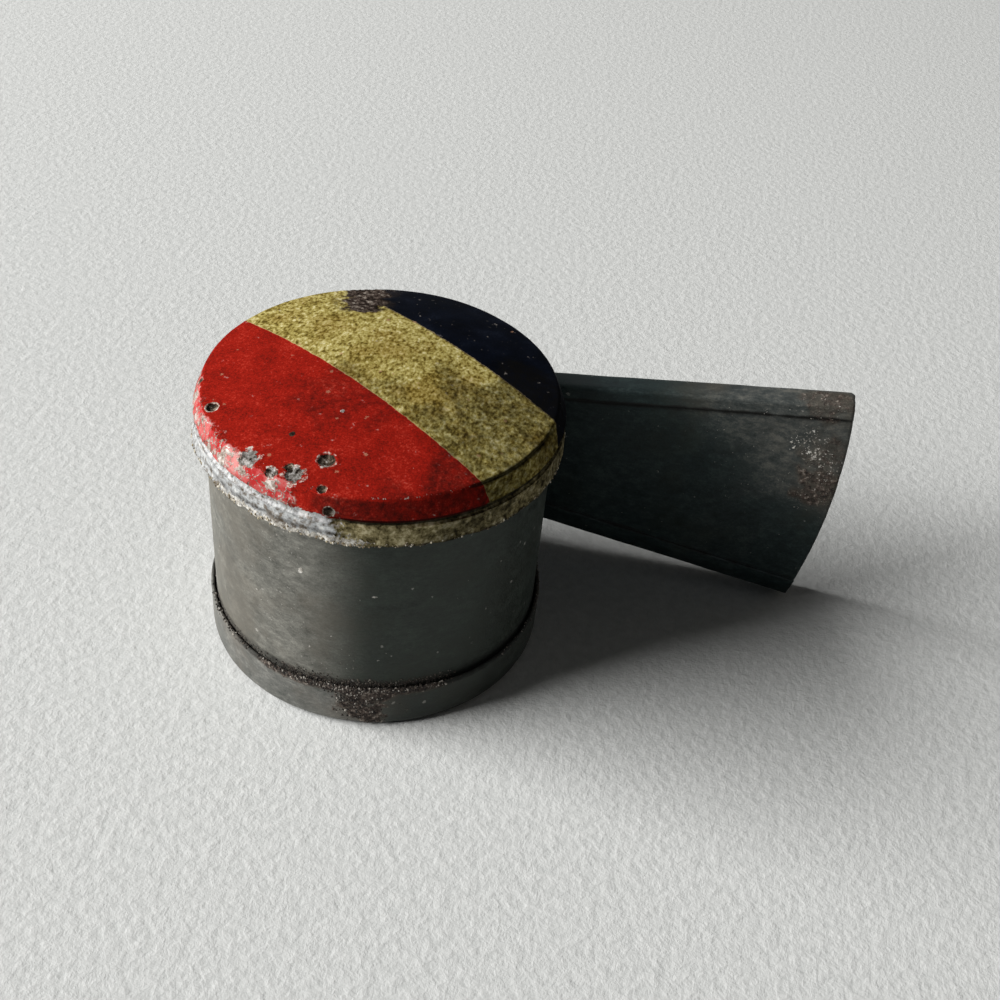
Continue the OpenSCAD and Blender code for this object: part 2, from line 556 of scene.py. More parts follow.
class Ageing:
    """Node groups of the ageing that several finishes share."""

    def __init__(self) -> None:
        """Build the groups."""
        self.speckle, self.pit, self.weather = self._speckle(), self._pit(), self._weather()

    @staticmethod
    def _speckle() -> NodeTree:
        """Scattered specks.

        Returns:
            A group with a mask of small round dots of uneven size.
        """
        inputs = {"Place": "Vector", "Scale": "Float", "Amount": "Float"}
        bench, given = start_group("ShaderNodeTree", "speckle", inputs, {"Mask": "Float"})
        place = given["Place"]
        away = bench.add("ShaderNodeTexVoronoi", {"Vector": place, "Scale": given["Scale"]}, "Distance")
        draw = bench.add("ShaderNodeSeparateColor", {"Color": away.beside("Color")}, "Red")
        size = draw.beside("Green").ease(0.0, 1.0, 0.1, 0.36)
        inside = (size - (away + place.grain(0.14 * MM, 2.0).swing(0.7))).ease(-0.04, 0.08)
        bench.node("NodeGroupOutput", {"Mask": draw.math("LESS_THAN", given["Amount"]) * inside})
        return bench.tree

    @staticmethod
    def _pit() -> NodeTree:
        """Ragged pit.

        Returns:
            A group with masks of its hollow and of the rim round it, and its depth.
        """
        inputs = {"Place": "Vector", "Centre": "Vector", "Radius": "Float", "Ragged": "Float"}
        outputs = {"Core": "Float", "Rim": "Float", "Depth": "Float"}
        bench, given = start_group("ShaderNodeTree", "pit", inputs, outputs)
        place = given["Place"]
        away = bench.add("ShaderNodeVectorMath", {0: place, 1: given["Centre"]}, "Value", operation="DISTANCE")
        share = away.math("DIVIDE", given["Radius"]) + place.grain(0.42 * MM, 4.0, 0.65).swing(given["Ragged"])
        core = share.ease(1.02, 0.86)
        rim = share.ease(1.28, 1.08) * core.rest()
        bench.node("NodeGroupOutput", {"Core": core, "Rim": rim, "Depth": share.ease(1.1, 0.6)})
        return bench.tree

    @staticmethod
    def _weather() -> NodeTree:
        """Rust, chalky oxide, and dirt together with painted shade, laid over a finish's own colour.

        Returns:
            A group with the weathered surface and the height of what lies on it.
        """
        surface = {"Color": "Color", "Roughness": "Float", "Metallic": "Float"}
        stains = {"Place": "Vector", "Rust": "Float", "Chalk": "Float", "Grime_and_shade": "Float"}
        bench, given = start_group("ShaderNodeTree", "weather", surface | stains, surface | {"Height": "Float"})
        place = given["Place"]
        coarse, fine = place.grain(0.55 * MM, 4.0), place.grain(0.16 * MM, 3.0, 0.7)
        broken, crumbled = coarse.swing(1.5), fine.swing(1.8)
        # Dark layer: dirt, and painted shade where the marks put it in recesses, under edges and on sides away from
        # the lamp.
        grime_and_shade = (given["Grime_and_shade"] + broken * 0.5).ease(0.2, 0.9)
        rust = (given["Rust"] + (broken + crumbled * 0.4)).ease(0.3, 0.8) * given["Rust"].ease(0.02, 0.15)
        flaked = place.grain(0.26 * MM, 2.0, 0.55).swing(1.5) + crumbled * 0.45
        chalk = (given["Chalk"] + flaked).ease(0.5, 0.64)
        aside = bench.add("ShaderNodeVectorMath", {0: place, 1: (0.01, 0.02, 0.03)}, operation="ADD")
        rusty = aside.grain(0.5 * MM, 6.0, 0.72).ramp([
            (0.37, (0.008, 0.0065, 0.006)), (0.45, (0.03, 0.022, 0.018)), (0.52, (0.07, 0.051, 0.042)),
            (0.58, (0.16, 0.128, 0.106)), (0.66, (0.42, 0.375, 0.325)),
        ])
        chalky = coarse.ramp([
            (0.35, (0.2, 0.18, 0.155)), (0.5, (0.5, 0.47, 0.42)), (0.63, (0.8, 0.78, 0.73)),
        ])
        colour = given["Color"].under((0.07, 0.047, 0.027), given["Rust"].ease(0.05, 0.8) * 0.5)
        colour = colour.under((0.007, 0.0065, 0.0055), grime_and_shade * 0.9)
        cover = rust.peak(chalk.peak(grime_and_shade))
        bench.node("NodeGroupOutput", {
            "Color": colour.under(rusty, rust).under(chalky, chalk),
            "Roughness": given["Roughness"].toward(0.88, cover),
            "Metallic": given["Metallic"] * cover.rest(),
            "Height": rust.peak(chalk) * (fine + 0.2),
        })
        return bench.tree


class Coat:
    """Material under construction, with the noises and the stored values that a finish draws on."""

    def __init__(self, name: str) -> None:
        """Start the material.

        Args:
            name: Name of the material.
        """
        self.material = bpy.data.materials.new(name)
        self.material.use_nodes = True
        self.bench = Bench(self.material.node_tree)
        self.shader = self.material.node_tree.nodes["Principled BSDF"]
        self.place = self.bench.add("ShaderNodeTexCoord", output="Object")

    @cached_property
    def cloud(self) -> Wire:
        """Broad mottling."""
        return self.place.grain(2.8 * MM, 5.0)

    @cached_property
    def grit(self) -> Wire:
        """Patches of about half a millimetre."""
        return self.place.grain(0.6 * MM)

    @cached_property
    def sand(self) -> Wire:
        """Grains of a third of a millimetre."""
        return self.place.grain(0.3 * MM, 3.0, 0.7)

    @cached_property
    def dust(self) -> Wire:
        """Finest grains."""
        return self.place.grain(0.13 * MM, 2.0, 0.5)

    def kept(self, name: str) -> Wire:
        """Value that is stored on the mesh under a name."""
        return self.bench.add("ShaderNodeAttribute", output="Fac", attribute_name=name)

    def group(self, tree: NodeTree, output: str, **inputs: object) -> Wire:
        """Output of a shared group at this material's place."""
        return self.bench.add("ShaderNodeGroup", {"Place": self.place, **inputs}, output, node_tree=tree)

    def finish(
        self, ageing: Ageing, colour: Wire, rough: Wire, metal: Wire, relief: Wire, depth: float,
        specular: float = 0.5, stained: bool = True,
    ) -> Material:
        """Weather the surface and join it to the shader.

        Args:
            ageing: Shared groups.
            colour: Colour of the surface.
            rough: Its roughness.
            metal: Its share of metal.
            relief: Its relief.
            depth: Depth of the relief in metres.
            specular: Shine of what is no metal.
            stained: Whether the stains and painted shade that the mesh carries lie on it.

        Returns:
            The material.
        """
        stains = {name: self.kept(name.lower()) if stained else 0.0 for name in ("Rust", "Chalk", "Grime_and_shade")}
        aged = self.group(ageing.weather, "Color", Color=colour, Roughness=rough, Metallic=metal, **stains)
        height = relief + aged.beside("Height")
        bump = self.bench.add("ShaderNodeBump", {"Height": height, "Distance": depth, "Strength": 1.0})
        self.bench.feed(self.shader, {
            "Base Color": aged, "Roughness": aged.beside("Roughness"), "Metallic": aged.beside("Metallic"),
            "Normal": bump, "Specular IOR Level": specular,
        })
        return self.material


@dataclass(frozen=True)
class Pit:
    """Round corrosion pit with a raised rim.

    Attributes:
        place: Middle in millimetres.
        radius: Radius of the hollow in millimetres.
        depth: Depth of the hollow in millimetres.
        rim: Strength of the pale rim.
        ragged: How far the outline wanders.
        pale: Share of the hollow that shows pale metal.
    """

    place: Triple
    radius: float
    depth: float
    rim: float
    ragged: float
    pale: float = 0.0

    def sink(self, points: np.ndarray) -> np.ndarray:
        """Distance that this pit moves points outward.

        Args:
            points: Points in metres.

        Returns:
            The distance of each in metres.
        """
        away = np.linalg.norm(points - np.array(self.place) * MM, axis=1) / (self.radius * MM)
        lip = 0.35 * np.exp(-(((away - 1.15) / 0.22) ** 2))
        return self.depth * (lip - ease(1.0, 0.45, away)) * MM


@dataclass(frozen=True)
class PrintedEnamel:
    """Three printed stripes on the lid, with pits, fading and exposed metal.

    Attributes:
        red_edge: Distance from the lid's middle at which red meets cream, in millimetres.
        navy_edge: Distance from the lid's middle at which cream meets navy, in millimetres.
        edge_line: Width of the pale line where two colours meet, in millimetres.
        edge_blur: Half the width over which they change, in millimetres.
    """

    red_edge: float = -2.85
    navy_edge: float = 6.82
    edge_line: float = 0.12
    edge_blur: float = 0.03

    def stripes(self, coat: Coat, ageing: Ageing) -> tuple[Wire, Wire, Wire]:
        """Colour of the print.

        Args:
            coat: Material under construction.
            ageing: Shared groups.

        Returns:
            The colour and the masks of the cream and the navy stripe.
        """
        stripe = coat.kept("stripe") + coat.grit.swing(0.22)
        red = (0.35 * coat.cloud + 0.3 * coat.sand + 0.35 * coat.dust).ramp([
            (0.38, (0.14, 0.0095, 0.006)), (0.47, (0.28, 0.012, 0.007)),
            (0.55, (0.375, 0.0155, 0.0085)), (0.63, (0.52, 0.052, 0.032)),
        ])
        meal = coat.place.stretch((1.0, 0.66, 1.0))
        meal = 0.5 * meal.grain(0.42 * MM) + 0.4 * meal.grain(0.22 * MM, 2.0, 0.5)
        cream = (0.1 * coat.cloud + meal).ramp([
            (0.38, (0.11, 0.076, 0.014)), (0.45, (0.265, 0.2, 0.046)), (0.51, (0.44, 0.362, 0.11)),
            (0.57, (0.59, 0.51, 0.2)), (0.64, (0.78, 0.705, 0.4)),
        ])
        ochre = coat.place.grain(4.5 * MM, 4.0).ease(0.47, 0.66)
        cream = cream.under((0.5, 0.36, 0.14), 0.55 * ochre, "MULTIPLY")
        navy = (0.7 * coat.cloud + 0.3 * coat.dust).ramp([
            (0.38, (0.0012, 0.0018, 0.0036)), (0.55, (0.0026, 0.004, 0.009)), (0.68, (0.008, 0.011, 0.02)),
        ])
        edges = (self.red_edge, self.navy_edge)
        is_cream, is_navy = (stripe.ease(edge - self.edge_blur, edge + self.edge_blur) for edge in edges)
        colour = red.under(cream, is_cream).under(navy, is_navy)
        for edge in edges:
            away = (stripe - (edge + 0.05)).math("ABSOLUTE")
            line = (away + 0.12 * coat.sand).ease(self.edge_line, 0.05)
            colour = colour.under((0.55, 0.42, 0.22), 0.7 * line)
        pinholes = coat.group(ageing.speckle, "Mask", Scale=1900.0, Amount=0.025)
        return colour.under((0.5, 0.27, 0.17), 0.55 * pinholes), is_cream, is_navy

    def wear(self, coat: Coat, colour: Wire) -> tuple[Wire, Wire]:
        """Lay lacquer, fading, peeling and exposed metal over the print.

        Args:
            coat: Material under construction.
            colour: The print's colour.

        Returns:
            The colour and the mask of exposed metal and peeled print.
        """
        cloud, grit, sand = coat.cloud, coat.grit, coat.sand
        tan = (0.2 * cloud + 0.6 * grit + 0.2 * sand).ramp([
            (0.38, (0.045, 0.035, 0.016)), (0.45, (0.15, 0.125, 0.06)),
            (0.53, (0.29, 0.245, 0.125)), (0.62, (0.55, 0.49, 0.31)),
        ])
        pink = (0.7 * cloud + 0.3 * grit).ramp([
            (0.4, (0.44, 0.03, 0.03)), (0.5, (0.55, 0.125, 0.12)), (0.6, (0.66, 0.27, 0.255)),
        ])
        primer = (0.2 * cloud + 0.5 * grit + 0.3 * sand).ramp([
            (0.39, (0.14, 0.1, 0.075)), (0.46, (0.3, 0.24, 0.2)),
            (0.54, (0.48, 0.42, 0.38)), (0.63, (0.72, 0.67, 0.62)),
        ])
        plating = (0.2 * cloud + 0.55 * grit + 0.25 * sand).ramp([
            (0.37, (0.13, 0.11, 0.09)), (0.43, (0.28, 0.27, 0.255)), (0.5, (0.42, 0.43, 0.435)),
            (0.58, (0.58, 0.59, 0.585)), (0.66, (0.76, 0.75, 0.73)),
        ])
        fade = coat.kept(Stain.FADE.value)
        faded = (fade + (0.5 * cloud + 0.5 * grit).swing(1.8)).ease(0.3, 0.45) * fade.ease(0.02, 0.2)
        flake = coat.place.grain(1.5 * MM, 4.0, 0.62)
        ridge = (coat.place.grain(0.9 * MM) - 0.5).math("ABSOLUTE")
        lines = ridge.ease(0.026, 0.01) * fade.ease(0.2, 0.5)
        peeled = lines.peak((flake + 0.12 * fade).ease(0.63, 0.67) * fade.ease(0.1, 0.4))
        plated = (coat.kept(Stain.SILVER.value) + (0.6 * grit + 0.4 * sand).swing(1.8)).ease(0.4, 0.62)
        plating = plating.under((0.15, 0.11, 0.07), 0.75 * flake.ease(0.54, 0.62))
        colour = colour.under(tan, coat.kept("lacquer").ease(0.4, 0.6)).under(pink, faded)
        return colour.under(primer, peeled).under(plating, plated), plated.peak(peeled)

    def pitting(self, coat: Coat, ageing: Ageing, colour: Wire, pits: Sequence[Pit]) -> tuple[Wire, Wire, Wire]:
        """Colour the pits and their rims.

        Args:
            coat: Material under construction.
            ageing: Shared groups.
            colour: The worn print's colour.
            pits: Pits of the lid.

        Returns:
            The colour, the hollows' mask and their depth in millimetres.
        """
        hollow = rim = pale = depth = 0.0
        for pit in pits:
            centre = tuple(c * MM for c in pit.place)
            core = coat.group(ageing.pit, "Core", Centre=centre, Radius=pit.radius * MM, Ragged=pit.ragged)
            hollow = core.peak(hollow)
            rim = (pit.rim * core.beside("Rim")).peak(rim)
            pale = (pit.pale * core).peak(pale)
            depth = (pit.depth * core.beside("Depth")).peak(depth)
        mixed = 0.5 * coat.grit + 0.5 * coat.sand
        edge = mixed.ramp([(0.4, (0.17, 0.1, 0.07)), (0.5, (0.42, 0.33, 0.27)), (0.6, (0.74, 0.67, 0.61))])
        metal = (0.6 * coat.grit + 0.4 * coat.sand).ramp([
            (0.38, (0.01, 0.0075, 0.006)), (0.48, (0.05, 0.036, 0.026)),
            (0.56, (0.12, 0.09, 0.064)), (0.66, (0.3, 0.25, 0.19)),
        ])
        grey = mixed.ramp([
            (0.38, (0.07, 0.062, 0.055)), (0.48, (0.19, 0.178, 0.16)),
            (0.56, (0.3, 0.285, 0.27)), (0.66, (0.52, 0.5, 0.48)),
        ])
        floor = metal.under(grey, (pale + coat.grit.swing(2.0)).ease(0.3, 0.7))
        rimmed = colour.under(edge, (rim + coat.grit.swing(2.2)).ease(0.35, 0.8))
        return rimmed.under(floor, hollow), hollow, depth

    def make(self, ageing: Ageing, pits: Sequence[Pit]) -> Material:
        """Make the material.

        Args:
            ageing: Shared groups.
            pits: Pits of the lid.

        Returns:
            The material.
        """
        coat = Coat("printed_enamel")
        colour, is_cream, is_navy = self.stripes(coat, ageing)
        colour, worn = self.wear(coat, colour)
        colour, hollow, depth = self.pitting(coat, ageing, colour, pits)
        eaten = worn.peak(hollow)
        rough = is_navy.ease(0.0, 1.0, 0.5, 0.3).toward(0.66, eaten)
        relief = (is_cream - is_navy) * (0.7 * coat.sand) + coat.sand * (eaten + 0.12) - 8.0 * depth
        return coat.finish(ageing, colour, rough, 0.3 * eaten, relief, 0.06 * MM, specular=0.005)


@dataclass(frozen=True)
class TarnishedTin:
    """Dull grey tin with flecks, clouds of brown patina and specks, with painted shade and painted light where the
    mesh marks them.

    Attributes:
        name: Name of the finish.
        dark: Darkest colour of the tin's mottling.
        middle: Common colour.
        light: Colour of the palest tin, also laid where the tin is worn; on the mouthpiece's outer end that is
            partly painted light.
        patina: Colour of the brown clouds.
        deep: Share of each colour that is left under the strongest painted shade.
        fleck: Scale of the flecks along each axis.
        speck: Colour of the pale specks.
        metallic: Share of metal in the surface.
        roughness: Common roughness.
    """

    name: str
    dark: Colour
    middle: Colour
    light: Colour
    patina: Colour
    deep: Colour
    fleck: Triple
    speck: Colour
    metallic: float = 0.22
    roughness: float = 0.5

    def make(self, ageing: Ageing) -> Material:
        """Make the material.

        Args:
            ageing: Shared groups.

        Returns:
            The material.
        """
        coat = Coat(self.name)
        rolled = coat.place.stretch(self.fleck)
        fleck, fine = rolled.grain(0.8 * MM, 5.0, 0.7), rolled.grain(0.24 * MM, 3.0, 0.65)
        tone = 0.4 * fleck + 0.2 * fine + (0.25 * coat.cloud + 0.15 * coat.dust)
        colour = tone.ramp([(0.37, self.dark), (0.5, self.middle), (0.63, self.light)])
        browned = coat.place.grain(7.0 * MM, 6.0, 0.65).ease(0.42, 0.66)
        # Painted shade: the colour is multiplied by the deep tint where the mesh marks it, on the sides away from
        # the lamp and on the mouthpiece in the drum's shadow and at its lower end.
        deep = (coat.kept(Stain.PAINTED_SHADE.value) + fleck.swing(0.5)).ease(0.0, 1.0)
        # Lighter tin on the mouthpiece's upper outer end: partly worn tin, partly painted light.
        worn_and_lit = (coat.kept(Stain.RUBBED_AND_LIT.value) + (fleck - 0.5)).ease(0.3, 0.9)
        colour = colour.under(self.patina, 0.6 * browned).under(self.deep, deep, "MULTIPLY")
        colour = colour.under(self.light, 0.55 * worn_and_lit)
        for scale, amount, share in ((2100.0, 0.006, 0.5), (2900.0, 0.014, 0.35)):
            specks = coat.group(ageing.speckle, "Mask", Scale=scale, Amount=amount)
            colour = colour.under(self.speck, share * specks)
        rough = tone.ease(0.4, 0.6, self.roughness - 0.08, self.roughness + 0.14)
        shine = tone.ease(0.4, 0.6, self.metallic + 0.12, self.metallic - 0.12)
        relief = 0.25 * fleck + (0.2 * coat.grit + 0.15 * coat.sand + 0.1 * coat.dust)
        return coat.finish(ageing, colour, rough, shine, relief, 0.05 * MM, specular=0.25)


@dataclass(frozen=True)
class DullSolder:
    """Grey, slightly lumpy solder that has lost its shine."""

    dark: Colour = (0.09, 0.09, 0.085)
    light: Colour = (0.3, 0.3, 0.29)

    def make(self, ageing: Ageing) -> Material:
        """Make the material.

        Args:
            ageing: Shared groups.

        Returns:
            The material.
        """
        coat = Coat("dull_solder")
        lumps = coat.place.grain(0.6 * MM, 4.0)
        colour = lumps.ramp([(0.3, self.dark), (0.7, self.light)])
        rough, shine = lumps.ease(0.3, 0.7, 0.38, 0.6), lumps.ease(0.2, 0.8, 0.5, 0.7)
        return coat.finish(ageing, colour, rough, shine, 0.5 * lumps, 0.06 * MM)


@dataclass(frozen=True)
class CrustGrit:
    """Loose grains of rust, dirt and pale oxide.

    Attributes:
        name: Name of the finish.
        stops: Colours of the grains from the darkest to the palest.
    """

    name: str
    stops: Stops

    def make(self, ageing: Ageing) -> Material:
        """Make the material.

        Args:
            ageing: Shared groups.

        Returns:
            The material.
        """
        coat = Coat(self.name)
        dust = coat.place.grain(0.1 * MM)
        colour = (coat.kept("tone") + dust.swing(0.4)).ramp(self.stops)
        rough, shine = dust.ease(0.3, 0.7, 0.75, 0.95), dust.ease(0.6, 0.9, 0.0, 0.2)
        return coat.finish(ageing, colour, rough, shine, dust, 0.02 * MM, stained=False)


@dataclass(frozen=True)
class PaperFloor:
    """Plain pale paper under the whistle."""

    shade: Colour = (0.69, 0.705, 0.695)
    light: Colour = (0.82, 0.83, 0.82)

    def make(self) -> Material:
        """Make the material.

        Returns:
            The material.
        """
        coat = Coat("paper_floor")
        tooth = coat.place.grain(0.9 * MM, 6.0, 0.65)
        bump = coat.bench.add("ShaderNodeBump", {"Height": tooth, "Distance": 0.16 * MM, "Strength": 1.0})
        colour = tooth.ramp([(0.3, self.shade), (0.7, self.light)])
        coat.bench.feed(coat.shader, {
            "Base Color": colour, "Normal": bump, "Roughness": 0.95, "Specular IOR Level": 0.1,
        })
        return coat.material


def settle(piece: Object, body: Body, slot: Slot, finish: Material, *nodes: str) -> None:
    """Give a piece its finish and tie it to the frame.

    Args:
        piece: The piece.
        body: Body that it rides on.
        slot: Slot of the record; not used.
        finish: Its material.
        nodes: Nodes of the frame that it stands for.
    """
    piece.data.materials.clear()
    piece.data.materials.append(finish)
    if nodes:
        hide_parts(*nodes)
    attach(piece, body.value)
    LOG.info("%s: %d faces on %s", piece.name, len(piece.data.polygons), body.value)


class Assembly:
    """Sub-assembly whose pieces share a body, a slot and a finish."""

    body = Body.WHISTLE
    slot = Slot.SOLDER

    def build(self) -> list[tuple]:
        """Build the pieces, each with the frame's nodes that it stands for."""
        raise NotImplementedError

    def dress(self, finish: Material) -> Object:
        """Build the pieces, give them their finish and tie them to the frame.

        Args:
            finish: Material of the pieces.

        Returns:
            The first piece.
        """
        pieces = self.build()
        for piece, *nodes in pieces:
            settle(piece, self.body, self.slot, finish, *nodes)
        return pieces[0][0]


@dataclass
class Lid(Assembly):
    """Domed slip-on lid with printed stripes, a rolled bead and a corroded edge.

    Attributes:
        lip_radius: Outer radius at the lower edge.
        lip_height: Height of the lower edge.
        crown_height: Height of the crown.
        shoulder_radius: Radius of the crease below the dome.
        shoulder_height: Height of that crease.
        shoulder_break: Width of the rounding of the crease.
        bead_radius: Outer radius at the bead.
        bead_height: Height of the bead.
        bead_depth: Depth of the bead.
        bead_half: Half the width of the bead.
        stripe_turn: Turn of the stripes in degrees.
        crack_bearing: Bearing of the crack along the crease.
        worn_bearing: Bearing of the bare stretch of the skirt.
        flare_bearing: Bearing at which the lower edge is bent out.
        segments: Points in a ring.
    """

    lip_radius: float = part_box("lid")[1].x
    lip_height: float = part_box("lid")[0].z
    crown_height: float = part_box("lid")[1].z
    shoulder_radius: float = 14.3 * MM
    shoulder_height: float = 24.55 * MM
    shoulder_break: float = 0.35 * MM
    bead_radius: float = 14.86 * MM
    bead_height: float = 22.6 * MM
    bead_depth: float = 0.28 * MM
    bead_half: float = 0.38 * MM
    stripe_turn: float = 32.0
    crack_bearing: float = -28.0
    worn_bearing: float = -122.0
    flare_bearing: float = -150.0
    segments: int = 450

    body = Body.LID
    slot = Slot.PRINTED_TIN
    dents = ((0.035, 5.0, 0.0), (0.012, 1.1, 7.0))
    scars = ((0.1, 0.8, 11.0), (0.05, 0.4, 13.0))
    bites = ((0.28, 1.2, 2.0), (0.2, 0.4, 9.0))
    bends = ((0.08, 2.6, 6.0), (0.05, 0.9, 4.0))
    pits = (
        Pit((-11.3, -7.45, 24.7), 0.5, 0.24, 1.3, 0.5), Pit((-1.0, -11.4, 25.11), 0.7, 0.2, 0.4, 0.4, 0.25),
        Pit((-0.5, -14.0, 24.55), 0.36, 0.16, 0.6, 0.6), Pit((0.2, -14.7, 23.2), 0.42, 0.18, 0.9, 0.5, 0.2),
        Pit((-4.6, -13.3, 24.6), 0.5, 0.08, 0.5, 1.4, 0.4), Pit((-13.6, -4.2, 24.4), 0.36, 0.12, 0.5, 0.8),
        Pit((-6.7, -12.3, 24.7), 0.85, 0.07, 0.45, 1.8, 0.8), Pit((-2.9, -13.2, 24.7), 0.8, 0.1, 0.5, 1.6, 0.6),
        Pit((-3.4, -12.6, 24.75), 0.42, 0.14, 0.3, 1.2), Pit((-4.3, -9.4, 25.3), 0.26, 0.03, 0.3, 1.8),
        Pit((-1.4, -6.2, 25.8), 0.16, 0.04, 0.6, 1.6, 0.8),
    )
    scabs = (
        Spot((-4.4, 9.9, 25.2), 2.2, 0.95, 0.4), Spot((-4.9, 12.2, 24.9), 2.1, 0.95, 0.4),
        Spot((-4.6, 10.8, 25.1), 3.6, 0.3, 0.6),
    )
    marks = {
        Stain.RUST: (
            *scabs, Band(-128.0, 34.0, 22.7, 23.3, 0.34, 0.3), Band(-118.0, 34.0, 21.0, 21.7, 0.26, 0.3),
            Band(-60.0, 120.0, 20.0, 20.65, 0.5, 0.2), Band(100.0, 90.0, 20.0, 20.9, 0.55, 0.3),
        ),
        Stain.GRIME_AND_SHADE: (
            Spot((-4.6, 10.9, 25.1), 1.7, 0.6), Spot((-4.4, 9.0, 25.2), 3.4, 0.3),
            # The two spots on the crown's right side are dirt and painted shade: they darken the side of the dome
            # that turns away from the lamp.
            Spot((12.0, -0.5, 24.9), 8.5, 0.6), Spot((10.0, -9.4, 24.9), 7.8, 0.58, 0.7),
            Spot((-1.5, -4.0, 25.8), 5.5, 0.44), Band(132.0, 62.0, 24.2, 24.6, 0.6, 0.14),
            # The band at bearing -62, between the crease and the bead, is painted shade on the skirt that faces
            # away from the lamp.
            Band(-62.0, 36.0, 22.8, 24.4, 0.62, 0.2), Band(-22.0, 34.0, 22.8, 24.4, 0.45, 0.2),
            Band(-22.0, 40.0, 20.0, 22.4, 0.45, 0.3), Band(-108.0, 30.0, 21.15, 21.6, 0.58, 0.18),
            # The bands at the crack in the crease and in the bead's groove are dark lines of painted shade in these
            # recesses, with dirt.
            Band(-28.0, 22.0, 24.3, 24.6, 1.0, 0.1), Band(-40.0, 52.0, 22.35, 22.85, 1.0, 0.12),
            Band(90.0, 80.0, 22.35, 22.85, 0.8, 0.12), Band(-40.0, 60.0, 20.0, 20.75, 0.75, 0.2),
        ),
        Stain.CHALK: (
            Band(-125.0, 36.0, 24.2, 24.66, 0.32, 0.3), Band(-122.0, 34.0, 22.3, 23.1, 0.42, 0.3),
            Band(-104.0, 28.0, 20.0, 21.2, 0.74), Band(-60.0, 130.0, 20.0, 20.7, 0.36, 0.15),
            Band(-62.0, 18.0, 24.4, 24.62, 0.36, 0.1),
        ),
        Stain.FADE: (Band(-134.0, 34.0, 22.9, 24.5, 1.0, 0.35),),
        Stain.SILVER: (Band(-124.0, 40.0, 20.0, 22.75, 0.9, 0.45),),
        Stain.CRUMBS: (
            Band(-112.0, 50.0, 20.0, 20.8, 1.0, 0.15), Band(-50.0, 70.0, 20.0, 20.7, 0.5, 0.15),
            Band(110.0, 85.0, 20.0, 20.7, 0.22, 0.15),
        ),
    }

    def skin(self, depth: float, fine: int) -> Section:
        """Section of the lid from the crown to the lower edge.

        Args:
            depth: Distance below the outer face.
            fine: Number of points for each stretch, as a factor.

        Returns:
            Radius and height of each point.
        """
        rise = self.crown_height - self.shoulder_height
        ball = (self.shoulder_radius**2 + rise**2) / (2.0 * rise)
        crease = self.shoulder_radius - depth
        flat = crease - self.shoulder_break
        count = 22 * fine
        reach = [flat * i / count for i in range(count + 1)]
        dome = [(r, self.crown_height - ball + math.sqrt((ball - depth) ** 2 - r**2)) for r in reach]
        start = dome.pop()
        corner = (crease - 0.08 * MM, self.shoulder_height - depth + 0.02 * MM)
        end = (crease, self.shoulder_height - depth - self.shoulder_break / 2)
        shoulder = [
            tuple((1 - t) ** 2 * a + 2 * t * (1 - t) * b + t * t * c for a, b, c in zip(start, corner, end))
            for t in (i / (2 * fine) for i in range(2 * fine))
        ]
        face = self.bead_radius - depth
        turns = [math.pi * i / (3 * fine) for i in range(3 * fine)]
        bead = [
            (face - self.bead_depth * math.sin(t), self.bead_height + self.bead_half * math.cos(t)) for t in turns
        ]
        lip = (self.lip_radius - depth, self.lip_height)
        below = (face, self.bead_height - self.bead_half)
        return dome + shoulder + steps(end, bead[0], 3 * fine) + bead + steps(below, lip, 3 * fine) + [lip]

    def shape(self, points: np.ndarray, normals: np.ndarray, outer: int) -> np.ndarray:
        """Age the turned wall: pits, dents, a cracked crease and a ragged edge.

        Args:
            points: Points of the turned wall.
            normals: Outward direction at each point.
            outer: Number of points on the outer face.

        Returns:
            The shaped points.
        """
        face, height = points[:outer], points[:outer, 2]
        move = waves(face, self.dents) + sum(pit.sink(face) for pit in self.pits)
        crust = 0.09 * MM * (ripple(face, 0.32 * MM, 3.0) - 0.4)
        move += sum(spot.cover(face) * crust for spot in self.scabs)
        crack = np.exp(-(((height - self.shoulder_height + 0.12 * MM) / (0.1 * MM)) ** 2))
        crack *= ease(24.0, 17.0, bearing_gap(face, self.crack_bearing))
        move -= 0.2 * MM * crack * (0.75 + 0.5 * ripple(face, 1.4 * MM, 5.0))
        worn = ease(48.0, 30.0, bearing_gap(face, self.worn_bearing)) * ease(24.4 * MM, 22.6 * MM, height)
        move += worn * (waves(face, self.scars) - 0.035 * MM)
        shaped = points.copy()
        shaped[:outer] += normals[:outer] * move[:, None]
        around = points / np.linalg.norm(points[:, :2], axis=1)[:, None] * LID_RADIUS
        around[:, 2] = 0.0
        shaped[:, 2] += waves(around, self.bites, 0.0) * ease(21.7 * MM, 20.6 * MM, points[:, 2])
        flare = 0.14 * MM * ease(11.0, 2.0, bearing_gap(points, self.flare_bearing)) + waves(around, self.bends)
        shaped[:, :2] *= (1.0 + flare / LID_RADIUS * ease(22.3 * MM, 20.6 * MM, points[:, 2]))[:, None]
        return shaped

    def build(self) -> list[tuple]:
        """Build the lid's shell with its stripes, stains and painted shade stored on it.

        Returns:
            The shell and its node.
        """
        outer, inner = self.skin(0.0, 4), self.skin(GAUGE, 1)
        edge = [(self.lip_radius - inset * MM, self.lip_height - 0.03 * MM) for inset in (0.1, 0.2)]
        wall = Turned(outer + edge + inner[::-1], self.segments)
        points = self.shape(wall.points(), wall.normals(), (len(outer) - 1) * self.segments)
        piece, points = wall.make("lid_shell", points, self.marks)
        across = math.radians(90.0 - self.stripe_turn)
        stripe = points[:, 0] * math.cos(across) + points[:, 1] * math.sin(across)
        drop = np.maximum(0.0, self.shoulder_height - points[:, 2])
        reach = np.maximum(np.linalg.norm(points[:, :2], axis=1), MM)
        keep_values(piece.data, "stripe", stripe * (1.0 + drop / reach) / MM)
        keep_values(piece.data, "lacquer", ease(self.bead_height, self.bead_height - 0.12 * MM, points[:, 2]))
        return [(piece, "lid")]


